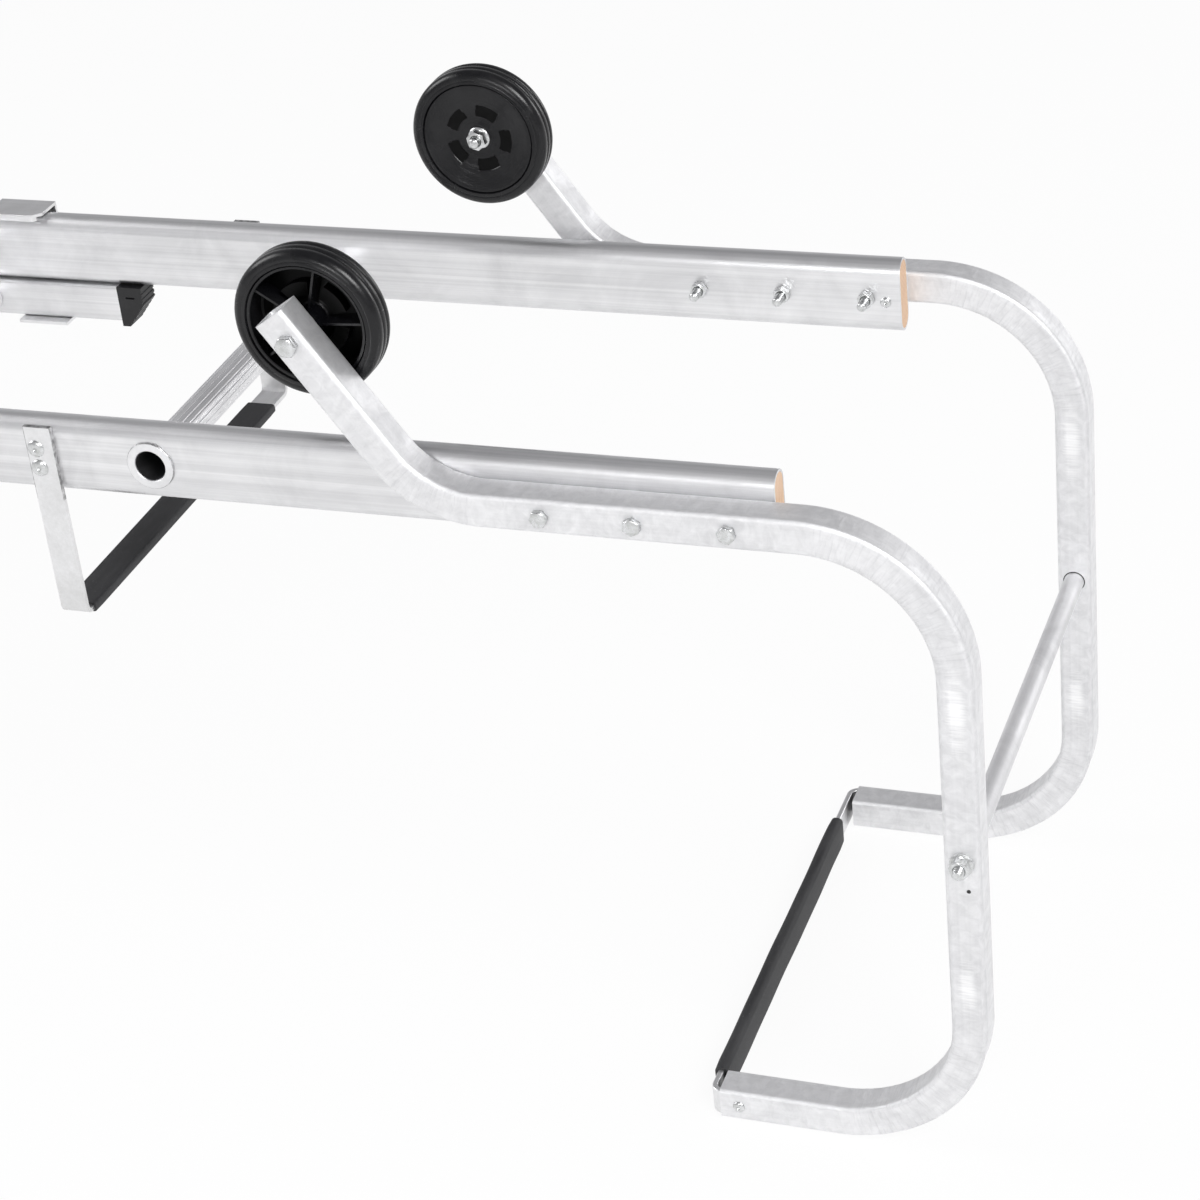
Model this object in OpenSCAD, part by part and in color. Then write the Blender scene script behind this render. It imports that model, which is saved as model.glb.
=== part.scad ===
// Double-section sliding roof ladder, closed, lying on a roof plane at z = 0.
// +X runs along the ladder to the hook end, +Y across it, +Z away from the roof.
// The origin is the middle of the upper bearer's underside, on the roof plane.
// All sizes are in millimetres.

/* [Upper section] */
// Length of the upper stiles
upper_len = 2440; // [2410:5:3000]
// Distance from the bearer bar to the top end of the upper stiles
bearer_to_top = 529; // [500:1:565]
// Height of the upper stiles' centre line above the roof plane
upper_z = 128.5; // [125:0.5:165]
// Overall width over the stiles' outer faces
ladder_w = 342; // [300:2:400]
// Depth of an upper stile
stile_depth = 56.5; // [52:0.5:63]
// Width of every stile, across the ladder
stile_w = 21; // [19:0.5:25]
// Wall of every stile
stile_wall = 1.8; // [1.4:0.1:2.5]

/* [Rungs] */
// Distance from one rung to the next
rung_pitch = 315; // [280:5:315]
// Distance from the top end of the upper stiles to the first rung
first_rung = 446; // [420:2:466]
// Number of rungs in the upper section
upper_rungs = 7; // [5:1:7]
// Outer diameter of an upper rung
upper_rung_d = 25; // [23:0.5:26.5]
// Outer diameter of a base rung
base_rung_d = 20; // [17:0.5:20.5]
// Wall of every rung
rung_wall = 1.4; // [1:0.1:2]
// Number of flutes round a rung
rung_flutes = 20; // [14:1:24]
// Depth of a flute
flute_depth = 0.4; // [0.3:0.1:0.6]
// How far the flared ring reaches beyond an upper rung, in radius
flare_reach = 5.2; // [3.4:0.1:5.8]
// How far the flared ring reaches beyond a base rung, in radius
base_flare_reach = 3.5; // [2.5:0.1:3.7]
// Thickness of the flared ring on the outer stile face
flare_t = 1.7; // [1.3:0.1:2.1]

/* [Base section] */
// Distance from the top end of the upper stiles to the base section, closed
base_setback = 643; // [633:1:717]
// Depth of a base stile
base_depth = 30; // [29.5:0.5:36]
// Corner radius of a base stile
base_corner = 2.5; // [2:0.1:4]
// Number of rungs in the base section
base_rungs = 7; // [4:1:7]
// Distance from the last base rung to the foot end of the base stiles
base_tail = 100; // [90:1:133]
// Running gap between the upper and the base stiles
section_gap = 0.5; // [0.3:0.1:1.2]
// Length of the rubber foot below the base stile
foot_len = 18; // [14:1:32]

/* [Hooks] */
// Outside size of the square hook tube
tube = 25; // [22:0.5:28]
// Wall of the hook tube
tube_wall = 1.6; // [1.2:0.1:2.5]
// Outer corner radius of the hook tube
tube_corner = 3.3; // [2.5:0.1:5]
// Centre-line radius of the two hook bends
hook_r = 100; // [75:1:117]
// Distance from the stile end out to the hook's upright
hook_reach = 118; // [104:0.5:150]
// Distance from the stile's centre line down to the hook's bottom run
hook_drop = 476; // [400:1:540]
// Distance from the stile end back to the open end of the bottom run
hook_back = 67.5; // [50:0.5:133]
// Distance from the stile end back to the start of the wheel arm's bend
arm_start = 196; // [188:1:217]
// Centre-line radius of the wheel arm's bend
arm_r = 75; // [58:1:92]
// Angle of the wheel arm above the stile
arm_angle = 55.5; // [50:0.5:62]
// Straight length of the wheel arm
arm_len = 118.5; // [108:0.5:142]
// Height of the cross tube below the stile's centre line
cross_drop = 236.5; // [167:0.5:333]
// Outer diameter of the cross tube
cross_d = 15; // [13.5:0.5:16.5]
// Wall of the cross tube
cross_wall = 1.3; // [1:0.1:2]
// Distance of the small pilot hole below the cross tube's rod
pilot_drop = 22.5; // [20:0.5:33]

/* [Fasteners] */
// Diameter of the hook bolts
hook_bolt_d = 7; // [6:0.5:8]
// Diameter of the axle bolts and of the cross rod
bolt_d = 8; // [7:0.5:8.5]
// Radial clearance of a bolt in its hole
bolt_fit = 0.2; // [0.1:0.05:0.3]
// Distance from the stile end to the first hook bolt
bolt_first = 25; // [22:0.5:33]
// Distance from one hook bolt to the next
bolt_pitch = 63.5; // [58:0.5:67]
// Width across flats of the hook bolts and their nuts
hook_flats = 11; // [10:0.5:12.5]
// Width across flats of the axle bolts and the flange nuts
flats = 13; // [12:0.5:15]
// Height of a hook bolt's head
hook_head_h = 4.6; // [3.8:0.1:5.5]
// Height of an axle bolt's head
head_h = 5.3; // [4.5:0.1:6.5]
// Height of a hook bolt's nut
hook_nut_h = 5.5; // [4.5:0.5:7]
// Height of a nut with its flange
nut_h = 8; // [6.5:0.5:9]
// Thread that stands out of a hook bolt's nut
hook_thread_out = 11; // [4:0.5:14]
// Thread that stands out of an axle bolt's nut
thread_out = 5; // [3:0.5:8]
// Thread of the cross rod that stands out of its nuts
rod_out = 5.5; // [2:0.5:8]
// Shank diameter of the dome rivets
rivet_d = 4; // [3.5:0.1:5]
// Head diameter of the dome rivets
rivet_head = 9; // [7.5:0.5:10]
// Length of the timber plug in the stile end
plug_len = 177; // [171:1:217]

/* [Wheels] */
// Outer diameter of the tyre
wheel_d = 105; // [88:1:114]
// Width of the tyre
tyre_w = 23.5; // [20:0.5:27]
// Outer diameter of the wheel centre, under the tyre
centre_d = 85; // [76:1:88]
// Distance from the wheel's middle to the hub's end next to the hook tube
hub_out = 12.5; // [12:0.5:15]
// Distance from the wheel's middle to the hub's end under the nut
hub_in = 7; // [6:0.5:12.5]
// How far the dish is sunk at the hub
dish_sink = 4; // [2:0.5:5]
// Outer diameter of the hub
hub_d = 19; // [17:0.5:22]
// Number of spokes, and of slots between them
spokes = 5; // [4:1:6]
// Running clearance of the hub on its axle, in radius
axle_fit = 0.1; // [0.05:0.01:0.1]
// Distance from the arm's end to the axle
axle_inset = 21; // [18:0.5:27]

/* [Bearer and ridge bars] */
// Width of every flat bar
bar_w = 21; // [18:0.5:21]
// Thickness of the bearer bars
bearer_t = 3.3; // [2.5:0.1:4]
// How far the upper bearer's straps reach above the stile's centre line
strap_up = 24.5; // [20:0.5:27]
// Wall of the rubber sleeves on the bearer bars
sleeve_wall = 2.1; // [1.7:0.1:3]
// Length of the rubber sleeves on the bearer bars
sleeve_len = 310; // [250:2:314]
// How far the sleeves have slipped towards the near side
sleeve_slip = 10; // [0:1:10]
// Thickness of the ridge bar
ridge_t = 4.2; // [3.5:0.1:5]
// Length of the ridge bar's turned ends
ridge_tab = 37; // [30:1:50]
// Wall of the rubber sleeve on the ridge bar
ridge_sleeve_wall = 2.9; // [2:0.1:3.2]
// Length of the rubber sleeve on the ridge bar
ridge_sleeve_len = 318; // [250:2:320]
// How far the ridge bar's sleeve has slipped towards the near side
ridge_slip = 12.5; // [0:0.5:12.5]

/* [Guide brackets and stay hooks] */
// Length of a guide bracket's wide flange, along the stile
guide_len = 48.5; // [42:0.5:67]
// Length of a guide bracket's narrow flange, along the stile
guide_foot_len = 43.5; // [40:0.5:50]
// How far the wide flange is set back from the narrow one
guide_skew = 9; // [0:0.5:12]
// Thickness of the guide bracket plate
guide_t = 2.5; // [2:0.1:3.3]
// Running gap between a guide bracket and the other section's stile
guide_gap = 0.8; // [0.5:0.1:1.2]
// Distance from the base section's top end to its guide bracket
guide_inset = 46.5; // [42:0.5:75]
// Distance from the upper section's foot end to its guide bracket
foot_guide_inset = 13.5; // [9:0.5:17]
// Thickness of a stay hook plate
stay_t = 2.5; // [2:0.1:3.3]
// Width of a stay hook's arm
stay_arm_w = 13.5; // [12:0.5:15]
// Distance along the ladder from a stay hook's pivot to the rung that it holds
stay_back = 25; // [23:0.5:28]
// Thickness of the stay hook's jaws
jaw = 6.7; // [5:0.1:7.5]
// Diameter of the stay hooks' pivots
stay_pin_d = 7; // [5:0.5:8]
// Diameter of the tie rod between the stay hooks
stay_tie_d = 8.5; // [8:0.5:10]

/* [Hidden] */
$fn = 48;
// Clearance of tubes, plugs and sleeves in their seats
seat = 0.1;
// Clearance of plates and ends that lie beside a wall
side_gap = 0.3;
// Overshoot of a cutting tool past the face it cuts
over = 1;

// Across the ladder
half_w = ladder_w / 2;
stile_y = half_w - stile_w / 2;
inner_y = half_w - stile_w;
tube_y = half_w + tube / 2;
outer_y = half_w + tube;

// Along the ladder and up from the roof
top_x = bearer_to_top;
foot_x = top_x - upper_len;
base_top_x = top_x - base_setback;
split_z = upper_z - stile_depth / 2 - section_gap / 2;
base_z = split_z - section_gap / 2 - base_depth / 2;
upper_rung_x = [for (i = [0:upper_rungs - 1]) top_x - first_rung - i * rung_pitch];
// The base rungs lie under the upper ones, from the first one that clears the guide bracket.
// The base reaches past the foot of the upper section, far enough for its bearer bar.
guide_to_rung = 65;
foot_to_foot = 80;
first_base = ceil((top_x - first_rung - base_top_x + guide_inset + guide_to_rung) / rung_pitch);
base_rung_x = [for (i = [0:base_rungs - 1]) top_x - first_rung - (i + first_base) * rung_pitch];
base_foot_x = min(base_rung_x[base_rungs - 1] - base_tail, foot_x - foot_to_foot);

// Rungs
flute_r = 1.1;
flare_lead = 0.8;
bead_t = 2.5;
bead_reach = 1.7;

// Hook tubes
bolt_x = [for (i = [0:2]) top_x - bolt_first - i * bolt_pitch];
hook_x = top_x + hook_reach;
bend_x = hook_x - hook_r;
hook_z = upper_z - hook_drop;
tube_end_x = top_x - hook_back;
arm_x = top_x - arm_start;
arm_z = upper_z + arm_r;
arm_foot_x = arm_x - arm_r * sin(arm_angle);
arm_foot_z = arm_z - arm_r * cos(arm_angle);
arm_slim = 0.02;
axle_along = arm_len - axle_inset;
axle_x = arm_foot_x - axle_along * cos(arm_angle);
axle_z = arm_foot_z + axle_along * sin(arm_angle);
cross_z = upper_z - cross_drop;
pilot_d = 2.5;
pilot_shift = 3.8;

// Bolts, nuts, screws and rivets
hook_hole_d = hook_bolt_d + 2 * bolt_fit;
hole_d = bolt_d + 2 * bolt_fit;
washer_d = 2 * bolt_d;
washer_t = 1.6;
nut_flange_d = 17;
nut_flange_t = 1.6;
screw_d = 4;
screw_len = 14;
screw_head_d = 8;
screw_head_h = 2.2;
screw_x = top_x - 11;
screw_z = upper_z - 2.5;
rivet_hole_d = rivet_d + 2 * seat;
rivet_dome = 2.1;
rivet_tail_d = 6.5;
rivet_tail = 1.8;

// Wheels
run_gap = 0.3;
wheel_y = half_w - washer_t - run_gap - hub_out;
rim_r = centre_d / 2 - seat;
rim_t = 2.5;
tyre_lip = 0.9;
rim_w = tyre_w - 2 * tyre_lip;
dish_t = 2.5;
spoke_t = 2.5;
spoke_inset = 2.5;
slot_r = 22;
slot_w = 7;
slot_half = 19;
pocket_depth = 7.5;
pocket_wall = 1.5;
shoulder_r = 6;
groove_d = 2.2;
axle_end_y = wheel_y - hub_in - run_gap;

// Bearer bars and ridge bar
bearer_bend = 3.3;
sleeve_corner = 2.5;
strap_rivet_shift = 3.3;
strap_rivet_z = 7.5;
base_bearer_shift = 4;
base_bearer_x = base_foot_x + base_tail / 2 - base_bearer_shift;
base_strap_short = 1.5;
base_strap_up = base_depth / 2 - base_strap_short;
ridge_edge = 1;
ridge_gap = 1;
ridge_bend = 4.6;
ridge_rivet_inset = 14;
ridge_sleeve_corner = 4;
ridge_x = tube_end_x - ridge_gap - ridge_sleeve_wall - ridge_t / 2;
ridge_tab_y = outer_y - tube_wall - side_gap - ridge_t;
ridge_rivet_x = tube_end_x + ridge_rivet_inset;

// End caps and feet
cap_plug = 17;
cap_wall = 1.7;
cap_rim = 2.5;
nose = 21.7;
nose_front = 15;
nose_foot = 6.7;
nose_lip = 4;
rib_d = 2;
front_ribs = 3;
slope_ribs = 4;
mark_len = 8;
mark_w = 1.6;
mark_r = 0.7;
mark_drop = 9;
cap_corner = 0.4;
foot_swell = 1;
foot_grooves = 7;
foot_groove_d = 2.5;

// Guide brackets, drawn from the plane between the two sections
joggle = flare_t + guide_gap;
joggle_half = 2.5;
guide_lip = 5.5;
guide_chamfer = 6.5;
lip_gap = 0.5;
guide_narrow = 31;
guide_rivet_shift = 2.5;
guide_rivet_u = guide_foot_len / 2 + guide_rivet_shift;
guide_rivet_gap = 23.3;
top_guide_x = base_top_x - guide_inset;
foot_guide_x = foot_x + foot_guide_inset;

// Stay hooks, drawn hanging down from their pivots
stay_x = base_rung_x[0] - stay_back;
stay_r = norm([stay_back, upper_z - base_z]);
mouth_fit = 1;
mouth_r = upper_rung_d / 2 + mouth_fit;
stay_bead_gap = 0.5;
stay_out_y = inner_y - bead_t - stay_bead_gap;
stay_in_y = stay_out_y - stay_t;
stay_boss_r = 10;
stay_tie_r = 25;
stay_tie_pin_d = 5;
stay_head_d = 12;
stay_tail_d = 10;

// Everything is drawn for the far side (+Y). The near side is its mirror image.
module on_side(side) {
    if (side == "near")
        mirror([0, 1, 0]) children();
    else
        children();
}

module both_sides() {
    children();
    mirror([0, 1, 0]) children();
}

// Extrudes a section drawn as [y, z] from x0 along +X
module along_x(x0, len) {
    translate([x0, 0, 0]) rotate([90, 0, 90]) linear_extrude(len) children();
}

// Extrudes a section drawn as [x, z] from y0 along +Y
module along_y(y0, len) {
    translate([0, y0 + len, 0]) rotate([90, 0, 0]) linear_extrude(len) children();
}

// A round bar along +Y, or the tool that drills its hole
module rod_y(x, z, d, y0, len) {
    translate([x, y0, z]) rotate([-90, 0, 0]) cylinder(d = d, h = len);
}

// Revolves a section drawn as [radius, y] about an axis along +Y
module about_y(x, y, z) {
    translate([x, y, z]) rotate([-90, 0, 0]) rotate_extrude($fn = 72) children();
}

// A rectangle with round corners, centred
module soft_rect(w, h, r) {
    square([w - 2 * r, h], center = true);
    square([w, h - 2 * r], center = true);
    for (sx = [-1, 1], sy = [-1, 1])
        translate([sx * (w / 2 - r), sy * (h / 2 - r)]) circle(r = r);
}

// The oval section of an upper stile: flat sides, half-round top and bottom
module oval(w, h) {
    square([w, h - w], center = true);
    for (s = [-1, 1])
        translate([0, s * (h - w) / 2]) circle(d = w);
}

// A quarter of a flat ring from angle a0 to a0 + 90, the bend of a flat bar
module quarter_bend(r_in, t, a0) {
    rotate(a0) intersection() {
        difference() {
            circle(r = r_in + t);
            circle(r = r_in);
        }
        square(r_in + t + over);
    }
}

// Fasteners, each one with its head or nut on the side that faces +Y

// A hexagonal prism, af across its flats, on the face at y_face; dir is 1 towards +Y, -1 towards -Y
module hex_prism(x, z, y_face, dir, af, h) {
    translate([x, y_face, z]) rotate([-90 * dir, 0, 0]) cylinder(d = af / cos(30), h = h, $fn = 6);
}

module hex_bolt(x, z, y_tip, y_face, d, af, h) {
    rod_y(x, z, d, y_tip, y_face - y_tip + h / 2);
    hex_prism(x, z, y_face, 1, af, h);
}

module flange_nut(x, z, y_face, dir) {
    difference() {
        union() {
            translate([x, y_face, z]) rotate([-90 * dir, 0, 0])
                cylinder(d = nut_flange_d, h = nut_flange_t);
            hex_prism(x, z, y_face, dir, flats, nut_h);
        }
        rod_y(x, z, bolt_d + 2 * seat, y_face - nut_h - over, 2 * (nut_h + over));
    }
}

module washer(x, z, y0) {
    difference() {
        rod_y(x, z, washer_d, y0, washer_t);
        rod_y(x, z, hole_d, y0 - over, washer_t + 2 * over);
    }
}

// A blind rivet: dome head on the face at y_face, closed behind what it grips
module rivet(x, z, y_face, grip) {
    dome_r = (pow(rivet_head / 2, 2) + pow(rivet_dome, 2)) / (2 * rivet_dome);
    about_y(x, y_face, z) intersection() {
        translate([0, rivet_dome - dome_r]) circle(r = dome_r);
        square([rivet_head, rivet_dome]);
    }
    rod_y(x, z, rivet_d, y_face - grip - rivet_tail, grip + rivet_tail + rivet_dome / 2);
    rod_y(x, z, rivet_tail_d, y_face - grip - rivet_tail, rivet_tail);
}

// The hole of a rivet through one outer stile wall
module rivet_hole(x, z) {
    rod_y(x, z, rivet_hole_d, half_w - stile_wall - over, stile_wall + 2 * over);
}

// Upper stiles: oval box section, open at both ends

module upper_stile(side) {
    color("silver") on_side(side) difference() {
        translate([0, stile_y, upper_z]) along_x(foot_x, upper_len) difference() {
            oval(stile_w, stile_depth);
            oval(stile_w - 2 * stile_wall, stile_depth - 2 * stile_wall);
        }
        for (x = upper_rung_x)
            rod_y(x, upper_z, upper_rung_d + 2 * seat, inner_y - over, stile_w + 2 * over);
        for (x = bolt_x)
            rod_y(x, upper_z, hook_hole_d, inner_y - over, stile_w + 2 * over);
        for (s = [-1, 1]) {
            rivet_hole(-strap_rivet_shift, upper_z + s * strap_rivet_z);
            rivet_hole(foot_guide_x + guide_rivet_u + s * guide_rivet_gap / 2, upper_z);
        }
        rod_y(screw_x, screw_z, screw_d + 2 * seat, inner_y - over, stile_wall + 2 * over);
    }
}

// Timber plugs in the top ends of the upper stiles, flush with the stile end

module stile_plug(side) {
    color("burlywood") on_side(side) difference() {
        translate([0, stile_y, upper_z]) along_x(top_x - plug_len, plug_len)
            oval(stile_w - 2 * stile_wall - 2 * seat, stile_depth - 2 * stile_wall - 2 * seat);
        for (x = bolt_x)
            rod_y(x, upper_z, hook_hole_d, inner_y - over, stile_w + 2 * over);
        rod_y(screw_x, screw_z, screw_d + 2 * seat, inner_y - over, screw_len + 2 * over);
    }
}

module plug_screws() {
    color("gainsboro") both_sides() {
        rod_y(screw_x, screw_z, screw_d, inner_y - screw_head_h / 2, screw_len);
        about_y(screw_x, inner_y - screw_head_h, screw_z) {
            square([screw_head_d / 2 - screw_head_h / 2, screw_head_h]);
            translate([screw_head_d / 2 - screw_head_h / 2, screw_head_h / 2])
                circle(d = screw_head_h);
        }
    }
}

// Rungs: a fluted tube, plain in the stiles, beaded inside them and flared to a ring outside

module rung_end(d, reach) {
    rod_y(0, 0, d, inner_y - bead_t - over, stile_w + bead_t + over + flare_t / 2);
    about_y(0, inner_y - bead_t, 0) {
        square([d / 2 + bead_reach - bead_t / 2, bead_t]);
        translate([d / 2 + bead_reach - bead_t / 2, bead_t / 2]) circle(d = bead_t);
    }
    about_y(0, half_w, 0) {
        square([d / 2 + reach - flare_t / 2, flare_t]);
        translate([d / 2 + reach - flare_t / 2, flare_t / 2]) circle(d = flare_t);
    }
}

// The cone that opens the bore at the flared end
module rung_mouth(r_bore) {
    about_y(0, half_w + flare_t, 0) polygon([
        [0, -flare_lead - over],
        [r_bore - over, -flare_lead - over],
        [r_bore + flare_lead + over, over],
        [0, over]
    ]);
}

module rung(x, z, d, reach) {
    r_bore = d / 2 - rung_wall;
    color("silver") translate([x, 0, z]) difference() {
        union() {
            along_y(-inner_y + bead_t, 2 * (inner_y - bead_t)) difference() {
                circle(d = d);
                for (i = [0:rung_flutes - 1])
                    rotate((i + 0.5) * 360 / rung_flutes)
                        translate([d / 2 + flute_r - flute_depth, 0]) circle(r = flute_r, $fn = 16);
            }
            both_sides() rung_end(d, reach);
        }
        rod_y(0, 0, 2 * r_bore, -half_w - flare_t - over, 2 * (half_w + flare_t + over));
        both_sides() rung_mouth(r_bore);
    }
}

// Hook tubes: one square tube each, bent three times

// A solid bar along the tube's path: the outside of the tube, or its bore for inset > 0

module tube_section(inset) {
    soft_rect(tube - 2 * inset, tube - 2 * inset, tube_corner - inset);
}

// A bend in the XZ plane about [x, z], from angle a0 over the angle sweep
module tube_bend(x, z, r, a0, sweep, inset) {
    translate([x, 0, z]) rotate([90, 0, 0])
        rotate_extrude(angle = sweep, start = a0, $fn = 96) translate([r, 0]) tube_section(inset);
}

// The two open ends run on by end. The arm is a hair thinner, so that it starts inside its bend.
module tube_path(inset, end) {
    translate([arm_foot_x, 0, arm_foot_z]) rotate([0, arm_angle - 90, 0])
        translate([0, 0, -over]) linear_extrude(arm_len + over + end) tube_section(inset + arm_slim);
    tube_bend(arm_x, arm_z, arm_r, -90 - arm_angle, arm_angle, inset);
    translate([0, 0, upper_z]) along_x(arm_x, bend_x - arm_x) tube_section(inset);
    tube_bend(bend_x, upper_z - hook_r, hook_r, 0, 90, inset);
    translate([hook_x, 0, hook_z + hook_r])
        linear_extrude(hook_drop - 2 * hook_r) tube_section(inset);
    tube_bend(bend_x, hook_z + hook_r, hook_r, -90, 90, inset);
    translate([0, 0, hook_z]) along_x(tube_end_x - end, bend_x - tube_end_x + end)
        tube_section(inset);
}

module hook_tube(side) {
    color("silver") on_side(side) difference() {
        translate([0, tube_y, 0]) tube_path(0, 0);
        translate([0, tube_y, 0]) tube_path(tube_wall, over);
        for (x = bolt_x)
            rod_y(x, upper_z, hook_hole_d, half_w - over, tube + 2 * over);
        rod_y(axle_x, axle_z, hole_d, half_w - over, tube + 2 * over);
        rod_y(hook_x, cross_z, hole_d, half_w - over, tube + 2 * over);
        rod_y(hook_x, cross_z, cross_d + 2 * seat, half_w - over, tube_wall + 2 * over);
        rod_y(hook_x + pilot_shift, cross_z - pilot_drop, pilot_d,
            outer_y - tube_wall - over, tube_wall + 2 * over);
        rod_y(ridge_rivet_x, hook_z, rivet_hole_d, outer_y - tube_wall - over, tube_wall + 2 * over);
    }
}

module hook_bolts() {
    color("gainsboro") both_sides()
        for (x = bolt_x)
            hex_bolt(x, upper_z, inner_y - hook_nut_h - hook_thread_out, outer_y,
                hook_bolt_d, hook_flats, hook_head_h);
}

module hook_nuts() {
    color("gainsboro") both_sides()
        for (x = bolt_x)
            difference() {
                hex_prism(x, upper_z, inner_y, -1, hook_flats, hook_nut_h);
                rod_y(x, upper_z, hook_bolt_d + 2 * seat, inner_y - hook_nut_h - over,
                    hook_nut_h + 2 * over);
            }
}

module axle_bolts() {
    color("gainsboro") both_sides()
        hex_bolt(axle_x, axle_z, axle_end_y - nut_h - thread_out, outer_y, bolt_d, flats, head_h);
}

module flange_nuts() {
    color("gainsboro") both_sides() {
        flange_nut(axle_x, axle_z, axle_end_y, -1);
        flange_nut(hook_x, cross_z, outer_y + washer_t, 1);
    }
}

module washers() {
    color("gainsboro") both_sides() {
        washer(axle_x, axle_z, half_w - washer_t);
        washer(hook_x, cross_z, outer_y);
    }
}

// The spacer tube between the hook uprights, and the threaded rod inside it

module cross_tube() {
    half = outer_y - tube_wall - side_gap;
    color("silver") difference() {
        rod_y(hook_x, cross_z, cross_d, -half, 2 * half);
        rod_y(hook_x, cross_z, cross_d - 2 * cross_wall, -half - over, 2 * (half + over));
    }
}

module cross_rod() {
    half = outer_y + washer_t + nut_h + rod_out;
    color("gainsboro") rod_y(hook_x, cross_z, bolt_d, -half, 2 * half);
}

// Ridge bar: a flat bar on edge, its ends turned into the open tube ends

module ridge_bar_section() {
    soft_rect(ridge_t, bar_w, ridge_edge);
}

module ridge_bar() {
    bend_r = ridge_bend + ridge_t / 2;
    bend_y = ridge_tab_y + ridge_t / 2 - bend_r;
    color("silver") difference() {
        union() {
            translate([ridge_x, -bend_y, hook_z]) rotate([-90, 0, 0])
                linear_extrude(2 * bend_y) ridge_bar_section();
            both_sides() {
                translate([ridge_x + bend_r, bend_y, hook_z]) rotate(90)
                    rotate_extrude(angle = 90, $fn = 96) translate([bend_r, 0]) ridge_bar_section();
                translate([0, bend_y + bend_r, hook_z])
                    along_x(ridge_x + bend_r, ridge_tab - bend_r) ridge_bar_section();
            }
        }
        both_sides()
            rod_y(ridge_rivet_x, hook_z, rivet_hole_d, ridge_tab_y - over, ridge_t + 2 * over);
    }
}

module ridge_sleeve() {
    y0 = -ridge_sleeve_len / 2 - ridge_slip;
    color("dimgray") translate([ridge_x, 0, hook_z]) along_y(y0, ridge_sleeve_len) difference() {
        soft_rect(ridge_t + 2 * ridge_sleeve_wall, bar_w + 2 * ridge_sleeve_wall,
            ridge_sleeve_corner);
        soft_rect(ridge_t + 2 * seat, bar_w + 2 * seat, ridge_edge);
    }
}

module ridge_rivets() {
    color("gainsboro") both_sides()
        rivet(ridge_rivet_x, hook_z, outer_y, outer_y - ridge_tab_y);
}

// Bearer bars: a flat bar bent to a U under each section, riveted to the outer stile faces

module bearer(x, z_top) {
    bend_z = sleeve_wall + bearer_t + bearer_bend;
    along_x(x - bar_w / 2, bar_w) {
        translate([-half_w + bearer_bend, sleeve_wall]) square([2 * (half_w - bearer_bend), bearer_t]);
        for (s = [0, 1])
            mirror([s, 0]) {
                translate([half_w - bearer_bend, bend_z]) quarter_bend(bearer_bend, bearer_t, -90);
                translate([half_w, bend_z]) square([bearer_t, z_top - bend_z]);
            }
    }
}

module bearer_bar() {
    color("silver") difference() {
        bearer(0, upper_z + strap_up);
        both_sides()
            for (s = [-1, 1])
                rod_y(-strap_rivet_shift, upper_z + s * strap_rivet_z, rivet_hole_d,
                    half_w - over, bearer_t + 2 * over);
    }
}

module base_bearer_bar() {
    color("silver") difference() {
        bearer(base_bearer_x, base_z + base_strap_up);
        both_sides()
            for (s = [-1, 1])
                rod_y(base_bearer_x, base_z + s * strap_rivet_z, rivet_hole_d,
                    half_w - over, bearer_t + 2 * over);
    }
}

// The rubber sleeve of a bearer bar, its underside on the roof
module bearer_sleeve(x) {
    y0 = -sleeve_len / 2 - sleeve_slip;
    color("dimgray") translate([x, 0, sleeve_wall + bearer_t / 2]) along_y(y0, sleeve_len) difference() {
        soft_rect(bar_w + 2 * sleeve_wall, bearer_t + 2 * sleeve_wall, sleeve_corner);
        square([bar_w + 2 * seat, bearer_t + 2 * seat], center = true);
    }
}

// Rivets of the upper section: the bearer's straps and the guide brackets at the foot
module upper_rivets() {
    color("gainsboro") both_sides()
        for (s = [-1, 1]) {
            rivet(-strap_rivet_shift, upper_z + s * strap_rivet_z,
                half_w + bearer_t, bearer_t + stile_wall);
            rivet(foot_guide_x + guide_rivet_u + s * guide_rivet_gap / 2, upper_z,
                half_w + guide_t, guide_t + stile_wall);
        }
}

// Base section

module base_section(inset) {
    soft_rect(stile_w - 2 * inset, base_depth - 2 * inset, max(base_corner - inset, cap_corner));
}

module base_stile(side) {
    color("silver") on_side(side) difference() {
        translate([0, stile_y, base_z]) along_x(base_foot_x, base_top_x - base_foot_x) difference() {
            base_section(0);
            base_section(stile_wall);
        }
        for (x = base_rung_x)
            rod_y(x, base_z, base_rung_d + 2 * seat, inner_y - over, stile_w + 2 * over);
        for (s = [-1, 1]) {
            rivet_hole(base_bearer_x, base_z + s * strap_rivet_z);
            rivet_hole(top_guide_x - guide_rivet_u + s * guide_rivet_gap / 2, base_z);
        }
        rod_y(stay_x, base_z, stay_pin_d + 2 * seat, inner_y - over, stile_wall + 2 * over);
    }
}

// Rivets of the base section: its bearer's straps and the guide brackets at its top
module base_rivets() {
    color("gainsboro") both_sides()
        for (s = [-1, 1]) {
            rivet(base_bearer_x, base_z + s * strap_rivet_z,
                half_w + bearer_t, bearer_t + stile_wall);
            rivet(top_guide_x - guide_rivet_u + s * guide_rivet_gap / 2, base_z,
                half_w + guide_t, guide_t + stile_wall);
        }
}

// End caps and feet: a hollow plug in the stile and a moulded end outside it

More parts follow.
